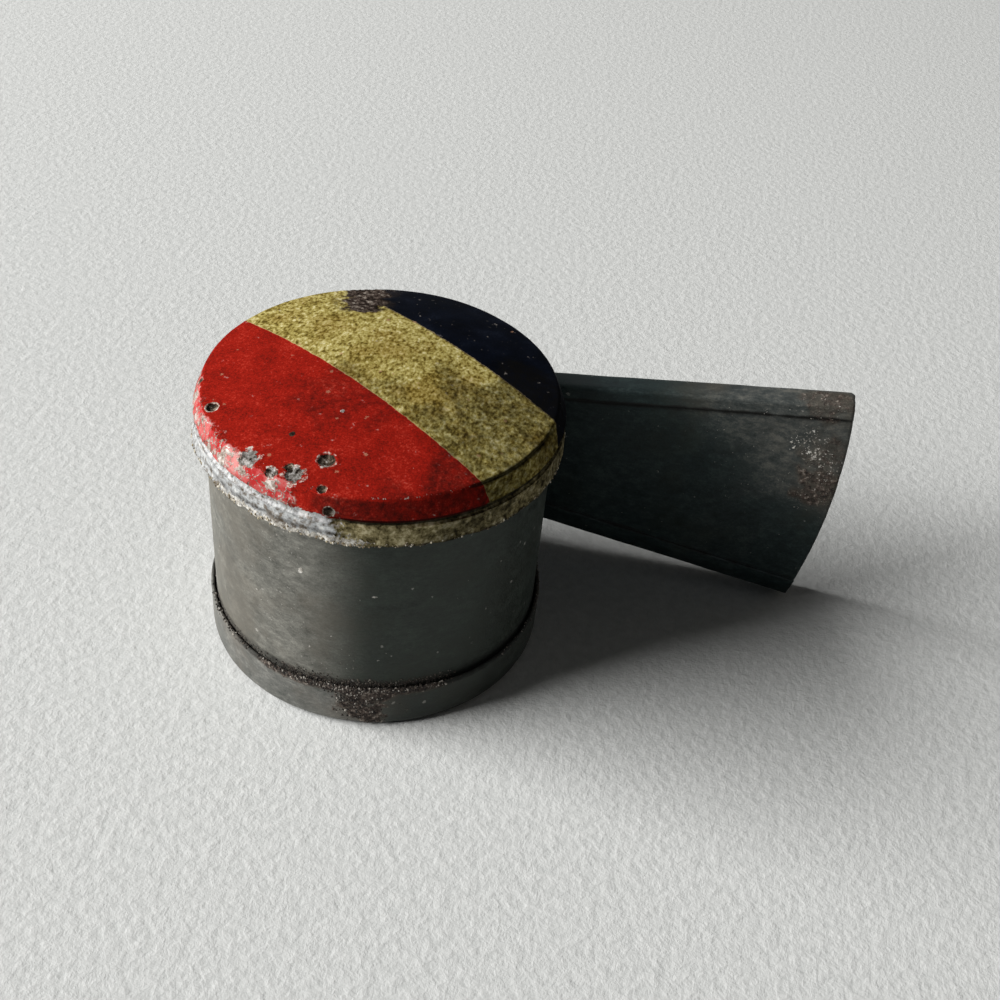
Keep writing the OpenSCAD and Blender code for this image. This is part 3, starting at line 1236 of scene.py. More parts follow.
@dataclass
class Drum(Assembly):
    """Rolled drum wall with its lapped seam and the sounding window.

    Attributes:
        foot: Height of the lower edge.
        rim: Height of the upper edge.
        seam_half: Half the width of the seam's groove.
        seam_depth: Depth of the groove.
        lap_half: Half the length of the lap behind the seam, in degrees.
        window: Bearings in degrees between which the window is cut.
        window_half: Half the height of the window.
        lip_edge: Place of the lip's edge in plan.
        lip_slit: Slit above and below the lip.
        lip_bow: Bow of the lip.
        lip_strips: Number of strips in the lip.
    """

    foot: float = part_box("drum_wall")[0].z
    rim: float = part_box("drum_wall")[1].z
    seam_half: float = 0.3 * MM
    seam_depth: float = 0.12 * MM
    lap_half: float = 6.2
    window: tuple[float, float] = (57.5, 101.0)
    window_half: float = 6.2 * MM
    lip_edge: tuple[float, float] = (-1.0 * MM, 13.2 * MM)
    lip_slit: float = 0.2 * MM
    lip_bow: float = 0.12 * MM
    lip_strips: int = 6

    slot = Slot.DRUM_TIN
    dents = ((0.03, 6.0, 4.0), (0.008, 1.3, 6.0))
    marks = {
        Stain.CHALK: (
            Line((-2.2, -13.95, 16.3), (-2.35, -13.9, 15.85), 0.28, 0.75),
            Line((3.35, -13.7, 14.6), (3.65, -13.6, 14.55), 0.17, 0.68), Spot((-5.0, -13.2, 12.5), 5.0, 0.22),
            Spot((-4.0, -13.5, 17.5), 3.0, 0.25), Spot((-1.5, -14.0, 8.0), 4.0, 0.2),
        ),
        # The band from 19.6 to 21 mm lies just under the lid's edge: painted shadow of the lid, with dirt.
        Stain.GRIME_AND_SHADE: (Band(-60.0, 180.0, 0.0, 5.0, 0.6, 0.35), Band(0.0, 180.0, 19.6, 21.0, 0.35, 0.6)),
        Stain.RUST: (
            Band(-80.0, 30.0, 3.0, 5.0, 0.42, 0.5), Band(95.0, 60.0, 3.0, 5.6, 0.4, 0.6),
            Band(120.0, 40.0, 18.4, 20.6, 0.36, 0.8),
        ),
        Stain.CRUMBS: (Band(-78.0, 30.0, 4.0, 4.9, 1.0, 0.45), Band(-125.0, 34.0, 4.0, 4.6, 0.35)),
        # Painted shade: the half of the drum that faces away from the lamp is darkened.
        Stain.PAINTED_SHADE: (Band(0.0, 92.0, -2.0, 30.0, 1.0, 0.5),),
    }

    def build_wall(self) -> Object:
        """Build the drum's sheet with the window cut and its lip bent in.

        Returns:
            The sheet.
        """
        seam_turn = math.degrees(self.seam_half / DRUM_RADIUS)
        corners = [*self.window, SEAM_BEARING - seam_turn, SEAM_BEARING + seam_turn]
        plain = [b for b in np.arange(0.0, 360.0, 1.0) if min(abs(b - c) for c in corners) > 0.4]
        bearings = np.array(sorted(plain + corners))
        trims = (0.0, self.lip_slit)
        cuts = sorted(PIPE_MIDDLE + side * (self.window_half - trim) for side in (-1, 1) for trim in trims)
        level = [z for z in np.linspace(self.foot, self.rim, 96) if min(abs(z - c) for c in cuts) > 0.08 * MM]
        heights = np.array(sorted(level + cuts))
        points = wall_points(bearings, heights, DRUM_RADIUS)
        move = waves(points, self.dents)
        move -= self.seam_depth * (bearing_gap(points, SEAM_BEARING) < 0.8 * seam_turn)
        points[:, :2] *= 1.0 + move[:, None] / DRUM_RADIUS
        columns, start, end = len(bearings), *(int(np.argmin(abs(bearings - w))) for w in self.window)
        low, lip_low, lip_high, high = (int(np.argmin(abs(heights - z))) for z in cuts)
        faces = [
            (a, d, c, b) for a, b, c, d in grid_faces(len(heights), columns, around=True)
            if not (start <= a % columns < end and low <= a // columns < high)
        ]
        roots = [row * columns + end for row in range(lip_low, lip_high + 1)]
        points, faces = self.add_lip(points, faces, roots)
        return make_sheet("drum_shell", points, faces, self.marks)

    def add_lip(self, points: np.ndarray, faces: Faces, roots: list[int]) -> tuple[np.ndarray, Faces]:
        """Add the lip that is bent inward from the window's end.

        Args:
            points: Points of the wall.
            faces: Faces of the wall.
            roots: Numbers of the points that the lip grows from.

        Returns:
            All the points and faces.
        """
        strips, added = [roots], []
        for share in np.arange(1, self.lip_strips + 1) / self.lip_strips:
            strip = points[roots].copy()
            strip[:, :2] = strip[:, :2] * (1.0 - share) + np.array(self.lip_edge) * share
            strip[:, 1] += self.lip_bow * math.sin(math.pi * share)
            first = len(points) + len(added) * len(roots)
            strips.append(list(range(first, first + len(roots))))
            added.append(strip)
        for near, far in zip(strips, strips[1:]):
            faces += [(near[i], near[i + 1], far[i + 1], far[i]) for i in range(len(roots) - 1)]
        return np.vstack([points, *added]), faces

    def build_lap(self) -> Object:
        """Build the strip of sheet that laps behind the seam, inside the drum.

        Returns:
            The strip.
        """
        bearings = np.linspace(SEAM_BEARING - self.lap_half, SEAM_BEARING + self.lap_half, 14)
        heights = np.linspace(self.foot + 0.5 * MM, self.rim - GAUGE, 40)
        points = wall_points(bearings, heights, DRUM_RADIUS - GAUGE + 0.02 * MM)
        faces = [(a, d, c, b) for a, b, c, d in grid_faces(len(heights), len(bearings))]
        return make_sheet("drum_lap", points, faces, self.marks)

    def build(self) -> list[tuple]:
        """Build the drum's sheet, which stands for the node, and its lap."""
        return [(self.build_wall(), "drum_wall"), (self.build_lap(),)]


@dataclass
class BasePan(Assembly):
    """Shallow pressed pan that the drum stands in.

    Attributes:
        radius: Outer radius.
        height: Height of the rim.
        corner: Radius of the bottom corner.
        bulge: How far the wall is pushed out.
        bulge_bearing: Bearing at which it is pushed out.
        rim_drop: How far the rim is worn down.
        segments: Points in a ring.
    """

    radius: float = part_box("base_pan")[1].x
    height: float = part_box("base_pan")[1].z
    corner: float = 0.75 * MM
    bulge: float = 0.16 * MM
    bulge_bearing: float = -30.0
    rim_drop: float = 0.08 * MM
    segments: int = 360

    slot = Slot.PAN_TIN
    bends = ((0.05, 7.0, 0.0),)
    dents = ((0.012, 1.2, 8.0),)
    bites = ((0.07, 2.0, 3.0), (0.04, 0.5, 5.0))
    marks = {
        Stain.RUST: (
            Spot((2.7, -14.2, 4.0), 2.9, 0.8, 0.6), Spot((2.8, -14.2, 1.6), 2.0, 0.85, 0.7),
            Spot((3.2, -14.2, 2.8), 4.0, 0.25, 0.6), Band(-85.0, 34.0, 3.7, 5.0, 0.65, 0.3),
            Band(60.0, 70.0, 3.4, 5.0, 0.5, 0.4),
        ),
        Stain.GRIME_AND_SHADE: (
            Band(-75.0, 60.0, 3.9, 5.0, 0.7, 0.2), Band(90.0, 130.0, 4.0, 5.0, 0.6, 0.2),
            Band(0.0, 180.0, -1.0, 0.35, 0.7),
        ),
        # Painted shade: the side of the pan that faces away from the lamp is darkened.
        Stain.PAINTED_SHADE: (Band(0.0, 80.0, -2.0, 30.0, 1.0, 0.5),),
        Stain.CRUMBS: (
            Band(-80.0, 32.0, 4.05, 5.0, 1.0, 0.1), Spot((2.0, -14.3, 3.4), 2.4, 0.4, 0.6),
            Spot((3.0, -14.2, 1.8), 1.7, 0.25, 0.6), Band(-125.0, 30.0, 4.2, 5.0, 0.5, 0.1),
            Band(60.0, 90.0, 4.2, 5.0, 0.3, 0.1),
        ),
    }

    def path(self) -> Section:
        """Section of the pan from the middle of its floor over the rim to the middle of its underside.

        Returns:
            Radius and height of each point.
        """
        inner, centre = self.radius - GAUGE, (self.radius - self.corner, self.corner)
        rim = (self.radius - GAUGE / 2, self.height - GAUGE / 2)
        return (
            steps((0.0, GAUGE), (centre[0], GAUGE), 14)
            + curve(centre, self.corner - GAUGE, -90.0, 0.0, 5)
            + steps((inner, self.corner), (inner, rim[1]), 14)
            + curve(rim, GAUGE / 2, 180.0, 0.0, 6)
            + steps((self.radius, rim[1]), (self.radius, self.corner), 22)
            + curve(centre, self.corner, 0.0, -90.0, 8)
            + steps((centre[0], 0.0), (0.0, 0.0), 14)
            + [(0.0, 0.0)]
        )

    def build(self) -> list[tuple]:
        """Build the pan's shell, a little bent and bulged.

        Returns:
            The shell and its node.
        """
        wall = Turned(self.path(), self.segments)
        points = wall.points()
        reach, around = np.linalg.norm(points[:, :2], axis=1), points * np.array((1.0, 1.0, 0.0))
        out, lift = ease(12.5 * MM, 14.2 * MM, reach), ease(0.4 * MM, 4.4 * MM, points[:, 2])
        bulge = waves(around, self.bends) + self.bulge * ease(45.0, 10.0, bearing_gap(points, self.bulge_bearing))
        move = out * (lift * bulge + waves(points, self.dents))
        shaped = points.copy()
        shaped[:, :2] *= (1.0 + move / np.maximum(reach, 0.1 * MM))[:, None]
        shaped[:, 2] += lift**2 * (waves(around, self.bites) - self.rim_drop)
        return [(wall.make("base_pan_shell", shaped, self.marks)[0], "base_pan")]


@dataclass
class Mouthpiece(Assembly):
    """Flat flared blowpipe of two plates; the back plate's long edges are folded over the front plate.

    Attributes:
        front: Distance of the front face behind the drum's axis.
        back: Distance of the back face behind the drum's axis.
        back_start: Distance at which the back face starts, over the window.
        tip: Distance of the foremost point.
        tip_height: Height of that point.
        tip_radius: Radius of the rounded end.
        corner: Rounding of the end's two rear corners.
        hem_top: Width of the upper fold on the front.
        hem_bottom: Width of the lower fold on the front.
        hem_lift: Height by which the folds' edges stand off the front plate.
        fold: Outer radius of the folds.
        play: Gap between the front plate's edges and the folds.
        dish: How far the front plate is pressed in.
        length: Points along a plate.
    """

    front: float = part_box("mouthpiece_back_plate")[0].y
    back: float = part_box("mouthpiece_back_plate")[1].y
    back_start: float = 3.4 * MM
    tip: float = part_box("mouthpiece_back_plate")[1].x
    tip_height: float = 14.5 * MM
    tip_radius: float = 60.0 * MM
    corner: float = 0.5 * MM
    hem_top: float = 1.35 * MM
    hem_bottom: float = 2.1 * MM
    hem_lift: float = 0.14 * MM
    fold: float = 0.42 * MM
    play: float = 0.05 * MM
    dish: float = 0.12 * MM
    length: int = 110

    slot = Slot.MOUTHPIECE_TIN
    bites = ((0.06, 0.9, 3.0), (0.04, 0.3, 6.0))
    dents = ((0.03, 4.0, 2.0), (0.012, 1.0, 5.0))
    sway = ((0.04, 3.0, 9.0),)
    buckle = ((0.025, 5.0, 4.0),)
    # Points along the rounded end, where a dark line of painted shade on the sheet's edge runs, with dirt.
    end_line = (
        (37.85, 13.7, 23.4), (37.85, 11.5, 23.4), (38.3, 11.5, 19.0), (38.48, 11.5, 14.5), (38.2, 11.5, 8.5),
        (37.2, 11.5, 2.2),
    )
    marks = {
        Stain.RUST: (
            Spot((36.8, 11.6, 14.0), 2.8, 0.62), Spot((36.6, 11.6, 17.4), 2.6, 0.45),
            Spot((35.4, 11.4, 22.7), 2.8, 0.5), Spot((37.0, 15.6, 6.0), 3.5, 0.5),
            Spot((12.0, 15.2, 16.0), 3.0, 0.4),
        ),
        Stain.CHALK: (
            Spot((35.0, 11.6, 18.6), 2.4, 0.36), Spot((35.5, 11.6, 17.2), 1.0, 0.5),
            Line((34.9, 11.6, 17.7), (35.7, 11.6, 17.0), 0.24, 0.72), Spot((37.2, 11.6, 16.2), 2.0, 0.38),
            Spot((36.8, 11.6, 12.6), 2.4, 0.26), Spot((34.8, 11.4, 22.5), 2.6, 0.26),
            Spot((31.0, 11.6, 16.0), 7.0, 0.16), Spot((36.5, 15.2, 17.0), 3.0, 0.3),
        ),
        Stain.GRIME_AND_SHADE: (
            # Dark line along the rounded end: painted shade on the sheet's edge, with dirt.
            *(Line(start, end, 0.2, 1.0) for start, end in zip(end_line, end_line[1:])),
            # Dark lines under the edges of the upper and the lower fold: painted shadow of the folds, with dirt in
            # the gaps; the spot at the root is painted shadow of the drum, with dirt.
            Line((8.3, 11.5, 17.35), (38.2, 11.5, 21.5), 0.4, 1.0),
            Line((8.3, 11.5, 6.75), (37.0, 11.5, 2.7), 0.35, 0.9), Spot((9.0, 11.6, 11.6), 6.0, 0.5, 0.3),
        ),
        # Lighter tin on the upper outer end: partly worn tin, partly painted light where the drum's shadow ends.
        Stain.RUBBED_AND_LIT: (Spot((34.5, 11.6, 17.0), 6.0, 0.5, 0.3), Spot((33.0, 11.4, 21.5), 7.0, 0.45, 0.3)),
        # Painted shade: darker tin at the root, in the drum's shadow, and towards the lower outer end.
        Stain.PAINTED_SHADE: (
            Spot((14.0, 11.6, 9.0), 21.0, 1.0, 0.2), Spot((32.0, 11.6, 5.0), 10.0, 0.8, 0.2),
            Spot((36.5, 11.6, 4.0), 7.0, 0.95, 0.2),
        ),
    }

    def end(self, depth: np.ndarray, share: np.ndarray, offset: np.ndarray) -> np.ndarray:
        """Distance at which the rounded end cuts each line along the mouthpiece.

        Args:
            depth: Distance of the line behind the axis.
            share: Share of the half width at which the line runs.
            offset: Height of the line above that.

        Returns:
            The distance of each line's end.
        """
        reach = np.full(len(share), self.tip)
        for _ in range(6):
            height = PIPE_MIDDLE + share * pipe_half(reach) + offset
            reach = self.tip - self.tip_radius + np.sqrt(self.tip_radius**2 - (height - self.tip_height) ** 2)
        inward = pipe_half(reach) - np.abs(height - PIPE_MIDDLE)
        return reach - self.corner * ease(1.5 * self.corner, 0.0, inward + self.back - depth)

    def sheet(self, name: str, lines: Sequence[Triple], bend: Callable[[np.ndarray], np.ndarray]) -> Object:
        """Build a sheet from lines that run along the mouthpiece.

        Args:
            name: Name of the piece.
            lines: For each line its distance behind the axis, its share of the half width and its offset.
            bend: Shaping of the points.

        Returns:
            The sheet with its thickness.
        """
        depth, share, offset = (np.array(column) for column in zip(*lines))
        start = np.maximum(np.sqrt(np.maximum(DRUM_RADIUS**2 - depth**2, 0.0)), self.back_start)
        finish = self.end(depth, share, offset)
        ends = np.stack([finish, depth, share * 12.0 * MM + offset], axis=-1)
        finish = finish - waves(ends, self.bites, 0.0)
        x = start + (finish - start) * np.linspace(0.0, 1.0, self.length)[:, None]
        z = PIPE_MIDDLE + share * pipe_half(x) + offset
        points = bend(np.stack([x, np.broadcast_to(depth, x.shape), z], axis=-1).reshape(-1, 3))
        return make_sheet(name, points, grid_faces(self.length, len(lines)), self.marks, 60.0)

    def fold_lines(self) -> list[Triple]:
        """Lines of the back plate, from the upper fold's edge over the back to the lower fold's edge.

        Returns:
            Distance behind the axis, share of the half width and offset of each line.
        """
        fold, front, back = self.fold, self.front, self.back
        turns = [(1 - math.cos(t), 1 - math.sin(t)) for t in np.linspace(0.0, math.pi / 2, 6)[1:]]
        hem = [(front, 1.0, -d) for d in np.linspace(self.hem_top, fold, 8)]
        upper = [(front + a * fold, 1.0, -b * fold) for a, b in turns]
        upper += [(y, 1.0, 0.0) for y in np.linspace(front + fold, back - fold, 8)[1:]]
        upper += [(back - b * fold, 1.0, -a * fold) for a, b in turns]
        rear = [(back, 1.0 - 2.0 * s, -fold + 2.0 * fold * s) for s in np.linspace(0.0, 1.0, 30)[1:-1]]
        lower = [(y, -s, -o) for y, s, o in reversed(upper)]
        lower += [(front, -1.0, d) for d in np.linspace(fold, self.hem_bottom, 10)[1:]]
        return hem + upper + rear + lower

    def bend_back(self, points: np.ndarray) -> np.ndarray:
        """Wave the folded edges a little.

        Args:
            points: Points of the back plate.

        Returns:
            The shaped points.
        """
        shaped = points.copy()
        edge = pipe_half(points[:, 0]) - np.abs(points[:, 2] - PIPE_MIDDLE)
        lifted = ease(self.fold, self.hem_top, edge) * (points[:, 1] < self.front + 0.01 * MM)
        lifted *= self.hem_lift * (0.8 + 0.6 * ripple(points, 5.0 * MM, 12.0))
        shaped[:, 1] += waves(points, self.dents) - lifted
        shaped[:, 2] += waves(points, self.sway)
        return shaped

    def bend_front(self, points: np.ndarray) -> np.ndarray:
        """Dish the front plate a little between its folds.

        Args:
            points: Points of the front plate.

        Returns:
            The shaped points.
        """
        shaped = points.copy()
        across = (points[:, 2] - PIPE_MIDDLE) / pipe_half(points[:, 0])
        shaped[:, 1] += self.dish * (1.0 - across**2) + waves(points, self.buckle)
        return shaped

    def build(self) -> list[tuple]:
        """Build both plates.

        Returns:
            Each plate and its node.
        """
        inset = GAUGE + self.play
        flat = [(self.front + GAUGE, s, -inset * s) for s in np.linspace(1.0, -1.0, 56)]
        back = self.sheet("mouthpiece_back_sheet", self.fold_lines(), self.bend_back)
        front = self.sheet("mouthpiece_front_sheet", flat, self.bend_front)
        return [(back, "mouthpiece_back_plate"), (front, "mouthpiece_front_plate")]


@dataclass
class Solder(Assembly):
    """Beads of solder that hold the drum, the pan and the mouthpiece together.

    Attributes:
        drum_rim: Height of the drum's rim.
        plate_front: Distance of the front plate behind the axis.
        seam_size: Half width and half height of the seam's bead.
        foot_size: Half width and half height of the fillet at the foot.
        corner_size: Half width and half height of the bead down the mouthpiece's front corner.
        edge_size: Half width and half height of the beads over and under the mouthpiece.
        sides: Points round a bead.
    """

    drum_rim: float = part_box("drum_wall")[1].z
    plate_front: float = 11.7 * MM
    seam_size: tuple[float, float] = (0.32 * MM, 0.09 * MM)
    foot_size: tuple[float, float] = (0.28 * MM, 0.28 * MM)
    corner_size: tuple[float, float] = (0.42 * MM, 0.36 * MM)
    edge_size: tuple[float, float] = (0.28 * MM, 0.26 * MM)
    sides: int = 12

    marks = {Stain.GRIME_AND_SHADE: (Band(0.0, 180.0, 0.0, 25.0, 0.3),)}

    def bead(
        self, path: np.ndarray, wide: Sequence[float] | np.ndarray, deep: Sequence[float] | np.ndarray,
        size: tuple[float, float], closed: bool = False,
    ) -> tuple[np.ndarray, Faces]:
        """Sweep a lumpy bead along a path.

        Args:
            path: Points along the bead.
            wide: Direction across the bead, one or one per point.
            deep: Direction of its height, one or one per point.
            size: Half the width and half the height.
            closed: Whether the bead runs round to its start.

        Returns:
            Points and faces.
        """
        turn = np.linspace(0.0, 2.0 * math.pi, self.sides, endpoint=False)[None, :, None]
        across, up = (np.broadcast_to(way, path.shape)[:, None, :] * half for way, half in zip((wide, deep), size))
        swell = 1.0 + 0.3 * ripple(path, 1.3 * MM, 4.0) + 0.12 * ripple(path, 0.4 * MM, 8.0)
        ring = (np.cos(turn) * across + np.sin(turn) * up) * swell[:, None, None]
        points = (path[:, None, :] + ring).reshape(-1, 3)
        faces = grid_faces(len(path), self.sides, around=True)
        last = (len(path) - 1) * self.sides
        if closed:
            faces += [(last + i, i, (i + 1) % self.sides, last + (i + 1) % self.sides) for i in range(self.sides)]
        else:
            faces += [tuple(range(self.sides)), tuple(last + i for i in reversed(range(self.sides)))]
        return points, faces

    def join(self, name: str, *beads: tuple[np.ndarray, Faces]) -> Object:
        """Join beads into one piece.

        Args:
            name: Name of the piece.
            beads: Points and faces of each bead.

        Returns:
            The piece.
        """
        points, faces = np.empty((0, 3)), []
        for bead_points, bead_faces in beads:
            faces += [tuple(len(points) + corner for corner in face) for face in bead_faces]
            points = np.vstack([points, bead_points])
        piece = make_object(name, points, faces, self.marks, 70.0)
        piece.data.validate()
        return piece

    def seam(self) -> Object:
        """Solder line in the side seam.

        Returns:
            The bead.
        """
        turn = math.radians(SEAM_BEARING)
        out, side = np.array((math.cos(turn), math.sin(turn), 0.0)), (math.sin(turn), -math.cos(turn), 0.0)
        heights = np.linspace(4.6 * MM, self.drum_rim - 0.4 * MM, 90)
        path = out * (DRUM_RADIUS - 0.06 * MM) + np.outer(heights, (0.0, 0.0, 1.0))
        return self.join("side_seam_bead", self.bead(path, side, out, self.seam_size))

    def foot(self) -> Object:
        """Fillet that seals the drum to the pan inside.

        Returns:
            The bead.
        """
        turn = np.linspace(0.0, 2.0 * math.pi, 220, endpoint=False)
        out = np.stack([np.cos(turn), np.sin(turn), np.zeros_like(turn)], axis=-1)
        path = out * (DRUM_RADIUS - GAUGE - 0.16 * MM) + np.array((0.0, 0.0, GAUGE + 0.2 * MM))
        return self.join("base_bead", self.bead(path, -out, (0.0, 0.0, -1.0), self.foot_size, closed=True))

    def root(self) -> Object:
        """Beads round the mouthpiece's root: one down the front corner, one over and one under.

        Returns:
            The beads as one piece.
        """
        corner = math.sqrt(DRUM_RADIUS**2 - self.plate_front**2) + 0.12 * MM
        low, high = PIPE_MIDDLE - PIPE_ROOT_HALF + 2.6 * MM, PIPE_MIDDLE + PIPE_ROOT_HALF - 1.9 * MM
        path = np.array([(corner, self.plate_front - 0.04 * MM, z) for z in np.linspace(low, high, 60)])
        beads = [self.bead(path, (1.0, 0.0, 0.0), (0.0, 1.0, 0.0), self.corner_size)]
        depth = np.linspace(11.6 * MM, 13.4 * MM, 24)
        x = np.sqrt(DRUM_RADIUS**2 - depth**2)
        out = np.stack([x, depth, np.zeros_like(x)], axis=-1) / DRUM_RADIUS
        for side in (-1.0, 1.0):
            height = PIPE_MIDDLE + side * (pipe_half(x) + 0.06 * MM)
            path = np.stack([x + 0.06 * MM, depth, height], axis=-1)
            beads.append(self.bead(path, out, (0.0, 0.0, -1.0), self.edge_size))
        return self.join("mouthpiece_beads", *beads)

    def build(self) -> list[tuple]:
        """Build the beads of the seam, the root and the foot, each with its node."""
        return [(self.seam(), "side_seam_solder"), (self.root(), "mouthpiece_solder"), (self.foot(), "base_solder")]


class Scatter:
    """Geometry tree that scatters loose grains over a shell where its crumbs attribute says."""

    def __init__(self) -> None:
        """Build the tree with named inputs."""
        sizes = {"Density": "Float", "Smallest": "Float", "Largest": "Float", "Palest": "Float", "Seed": "Int"}
        inputs = {"Shell": "Geometry", **sizes, "Grit": "Material"}
        bench, given = start_group("GeometryNodeTree", "crumb_scatter", inputs, {"Grains": "Geometry"})
        self.tree = bench.tree
        name = {"Name": Stain.CRUMBS.value}
        crumbs = bench.add("GeometryNodeInputNamedAttribute", name, "Attribute", data_type="FLOAT")
        points = bench.add("GeometryNodeDistributePointsOnFaces", {
            "Mesh": given["Shell"], "Density": crumbs * given["Density"], "Seed": given["Seed"],
        })
        limits = {2: given["Smallest"], 3: given["Largest"], "Seed": given["Seed"]}
        size = bench.add("FunctionNodeRandomValue", limits, 1, data_type="FLOAT")
        squash, turn = (
            bench.add("FunctionNodeRandomValue", {0: low, 1: high, "Seed": seed}, data_type="FLOAT_VECTOR")
            for low, high, seed in (
                ((0.6, 0.6, 0.5), (1.4, 1.1, 1.0), 4), ((0.0, 0.0, 0.0), (6.28, 6.28, 6.28), 9),
            )
        )
        placed = bench.add("GeometryNodeInstanceOnPoints", {
            "Points": points, "Rotation": turn,
            "Instance": bench.add("GeometryNodeMeshIcoSphere", {"Radius": 1.0, "Subdivisions": 1}),
            "Scale": bench.add("ShaderNodeVectorMath", {0: squash, "Scale": size}, operation="SCALE"),
        })
        tone = bench.add("FunctionNodeRandomValue", {2: 0.0, 3: given["Palest"], "Seed": 2}, 1, data_type="FLOAT")
        inputs = {"Geometry": placed, "Name": "tone", "Value": tone}
        toned = bench.add("GeometryNodeStoreNamedAttribute", inputs, data_type="FLOAT", domain="INSTANCE")
        real = bench.add("GeometryNodeRealizeInstances", {"Geometry": toned})
        dressed = bench.add("GeometryNodeSetMaterial", {"Geometry": real, "Material": given["Grit"]})
        bench.node("NodeGroupOutput", {0: dressed})

    def lay(self, name: str, shell: Object, **inputs: object) -> Object:
        """Scatter grains over a shell.

        Args:
            name: Name of the piece.
            shell: Shell that carries the grains.
            inputs: Values of the tree's inputs: grains per square metre where the crumbs are thickest,
                smallest and largest radius, tone of the palest grain, seed and material.

        Returns:
            The grains as one plain mesh.
        """
        carrier = bpy.data.objects.new(name, shell.data)
        bpy.context.scene.collection.objects.link(carrier)
        modifier = carrier.modifiers.new("crumbs", "NODES")
        modifier.node_group = self.tree
        for key, value in inputs.items():
            modifier[self.tree.interface.items_tree[key].identifier] = value
        grains = bpy.data.meshes.new_from_object(carrier.evaluated_get(bpy.context.evaluated_depsgraph_get()))
        carrier.modifiers.remove(modifier)
        carrier.data = grains
        grains.name = name
        return carrier


@dataclass
class Studio:
    """Floor, lamps and camera round the whistle.

    Attributes:
        azimuth: Camera's turn about the whistle in degrees.
        elevation: Camera's height above the horizon in degrees.
        roll: Camera's roll in degrees.
        distance: Camera's distance from its target.
        target: Point in the middle of the picture.
        lens: Focal length in millimetres on a sensor 36 mm wide.
        lamp_distance: Distance of the lamps from the target.
        ambient: Strength of the world's light on the whistle.
        backdrop: Strength of the world where it is seen.
        floor_half: Half the width of the floor.
    """

    azimuth: float = 8.0
    elevation: float = 40.1
    roll: float = 6.05
    distance: float = 111.016 * MM
    target: Triple = (10.18 * MM, 1.431 * MM, 13.707 * MM)
    lens: float = 47.07
    lamp_distance: float = 1.9
    ambient: float = 0.025
    backdrop: float = 0.45
    floor_half: float = 1.5

    def place_camera(self) -> None:
        """Make the camera at the photograph's angle."""
        data = bpy.data.cameras.new("camera")
        data.lens, data.sensor_width = self.lens, 36.0
        data.clip_start, data.clip_end = 0.005, 20.0
        camera = bpy.data.objects.new("camera", data)
        place = Matrix.Translation(self.target)
        for angle, axis in ((self.azimuth, "Z"), (90.0 - self.elevation, "X"), (self.roll, "Z")):
            place = place @ Matrix.Rotation(math.radians(angle), 4, axis)
        camera.matrix_world = place @ Matrix.Translation((0.0, 0.0, self.distance))
        bpy.context.scene.collection.objects.link(camera)
        bpy.context.scene.camera = camera

    def lamp(
        self, name: str, bearing: float, height: float, size: tuple[float, float], power: float, colour: Colour
    ) -> None:
        """Make a soft lamp that faces the whistle.

        Args:
            name: Name of the lamp.
            bearing: Bearing from the whistle in degrees.
            height: Elevation in degrees.
            size: Width and height of the lamp.
            power: Power in watts.
            colour: Colour of the light.
        """
        data = bpy.data.lights.new(name, "AREA")
        data.shape, data.size, data.size_y = "RECTANGLE", *size
        data.energy, data.color = power, colour
        lamp = bpy.data.objects.new(name, data)
        turn, rise = math.radians(bearing), math.radians(height)
        toward = Vector((math.cos(turn) * math.cos(rise), math.sin(turn) * math.cos(rise), math.sin(rise)))
        lamp.location = Vector(self.target) + toward * self.lamp_distance
        lamp.rotation_euler = toward.to_track_quat("Z", "Y").to_euler()
        bpy.context.scene.collection.objects.link(lamp)

    def lay_floor(self) -> None:
        """Make the pale floor."""
        half, level = self.floor_half, -0.01 * MM
        points = np.array([(-half, -half, level), (half, -half, level), (half, half, level), (-half, half, level)])
        floor = make_object("floor", points, [(0, 1, 2, 3)], {})
        floor.data.materials.append(PaperFloor().make())

    def light(self) -> None:
        """Set the lamps and the world's soft light."""
        self.lamp("key", 194.5, 30.0, (1.42, 0.75), 64.0, (1.0, 0.992, 0.975))
        self.lamp("fill", 20.0, 32.0, (1.2, 1.2), 0.7, (1.0, 0.86, 0.7))
        world = bpy.data.worlds.new("room")
        world.use_nodes = True
        bench = Bench(world.node_tree)
        seen = bench.add("ShaderNodeLightPath", output="Is Camera Ray")
        seen = seen.peak(seen.beside("Is Glossy Ray")).peak(seen.beside("Is Transmission Ray"))
        bench.feed(world.node_tree.nodes["Background"], {
            "Color": (0.94, 0.97, 1.0), "Strength": seen.ease(0.0, 1.0, self.ambient, self.backdrop),
        })
        bpy.context.scene.world = world
        bpy.context.scene.view_settings.view_transform = "Standard"


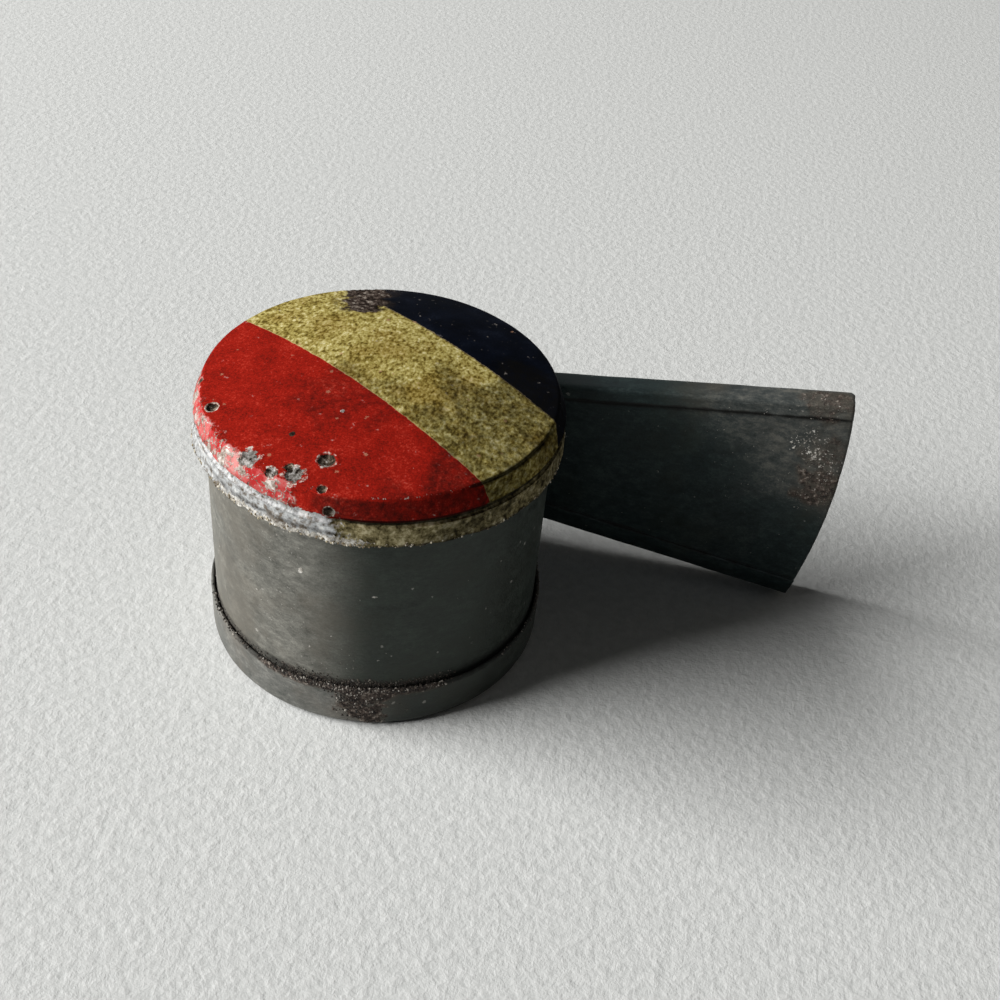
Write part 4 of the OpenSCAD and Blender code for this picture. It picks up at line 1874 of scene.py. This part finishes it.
def main() -> None:
    """Build the whistle's pieces in order."""
    logging.basicConfig(level=logging.INFO, format="%(name)s: %(message)s")
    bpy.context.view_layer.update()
    studio = Studio()
    studio.place_camera()
    studio.lay_floor()
    studio.light()
    ageing = Ageing()
    # The deep tints of the drum's and the pan's tin are the colours of their painted shade, on the sides away from
    # the lamp.
    drum_tin = TarnishedTin(
        "drum_tin", dark=(0.078, 0.078, 0.067), middle=(0.17, 0.167, 0.147), light=(0.305, 0.298, 0.263),
        patina=(0.15, 0.135, 0.11), deep=(0.15, 0.195, 0.18), fleck=(0.65, 0.65, 1.3), speck=(0.5, 0.48, 0.44),
    )
    pan_tin = TarnishedTin(
        "pan_tin", dark=(0.075, 0.08, 0.072), middle=(0.16, 0.16, 0.147), light=(0.3, 0.294, 0.268),
        patina=(0.16, 0.14, 0.115), deep=(0.18, 0.215, 0.2), fleck=(0.65, 0.65, 1.3), speck=(0.45, 0.43, 0.39),
    )
    # Painted shade: the mouthpiece's tin is a darker copy of the drum's tin, and its deep tint darkens it further
    # in the painted shadow of the drum and at the lower end.
    shaded_pipe_tin = TarnishedTin(
        "shaded_pipe_tin", dark=(0.022, 0.027, 0.026), middle=(0.052, 0.059, 0.057), light=(0.145, 0.14, 0.122),
        patina=(0.07, 0.06, 0.045), deep=(0.2, 0.33, 0.345), fleck=(0.7, 1.2, 1.2), speck=(0.26, 0.26, 0.24),
    )
    dirt = CrustGrit("dirt_grit", [
        (0.0, (0.006, 0.005, 0.004)), (0.45, (0.028, 0.021, 0.016)), (0.75, (0.085, 0.068, 0.053)),
        (0.95, (0.42, 0.39, 0.35)),
    ]).make(ageing)
    oxide = CrustGrit("oxide_grit", [
        (0.0, (0.1, 0.075, 0.045)), (0.3, (0.22, 0.17, 0.1)), (0.6, (0.46, 0.4, 0.28)), (0.95, (0.76, 0.73, 0.66)),
    ]).make(ageing)
    lid = Lid().dress(PrintedEnamel().make(ageing, Lid.pits))
    drum = Drum().dress(drum_tin.make(ageing))
    pan = BasePan().dress(pan_tin.make(ageing))
    Mouthpiece().dress(shaded_pipe_tin.make(ageing))
    Solder().dress(DullSolder().make(ageing))
    scatter = Scatter()
    for name, shell, density, smallest, largest, palest, seed, grit, home in (
        ("pan_crust", pan, 5.5e7, 0.025, 0.13, 1.0, 3, dirt, BasePan),
        ("drum_crust", drum, 6.0e7, 0.025, 0.11, 0.85, 8, dirt, Drum),
        ("lid_crumbs", lid, 2.0e7, 0.03, 0.13, 0.85, 5, oxide, Lid),
    ):
        grains = scatter.lay(
            name, shell, Density=density, Smallest=smallest * MM, Largest=largest * MM, Palest=palest, Seed=seed,
            Grit=grit,
        )
        settle(grains, home.body, home.slot, grit)


if __name__ == "__main__":
    main()
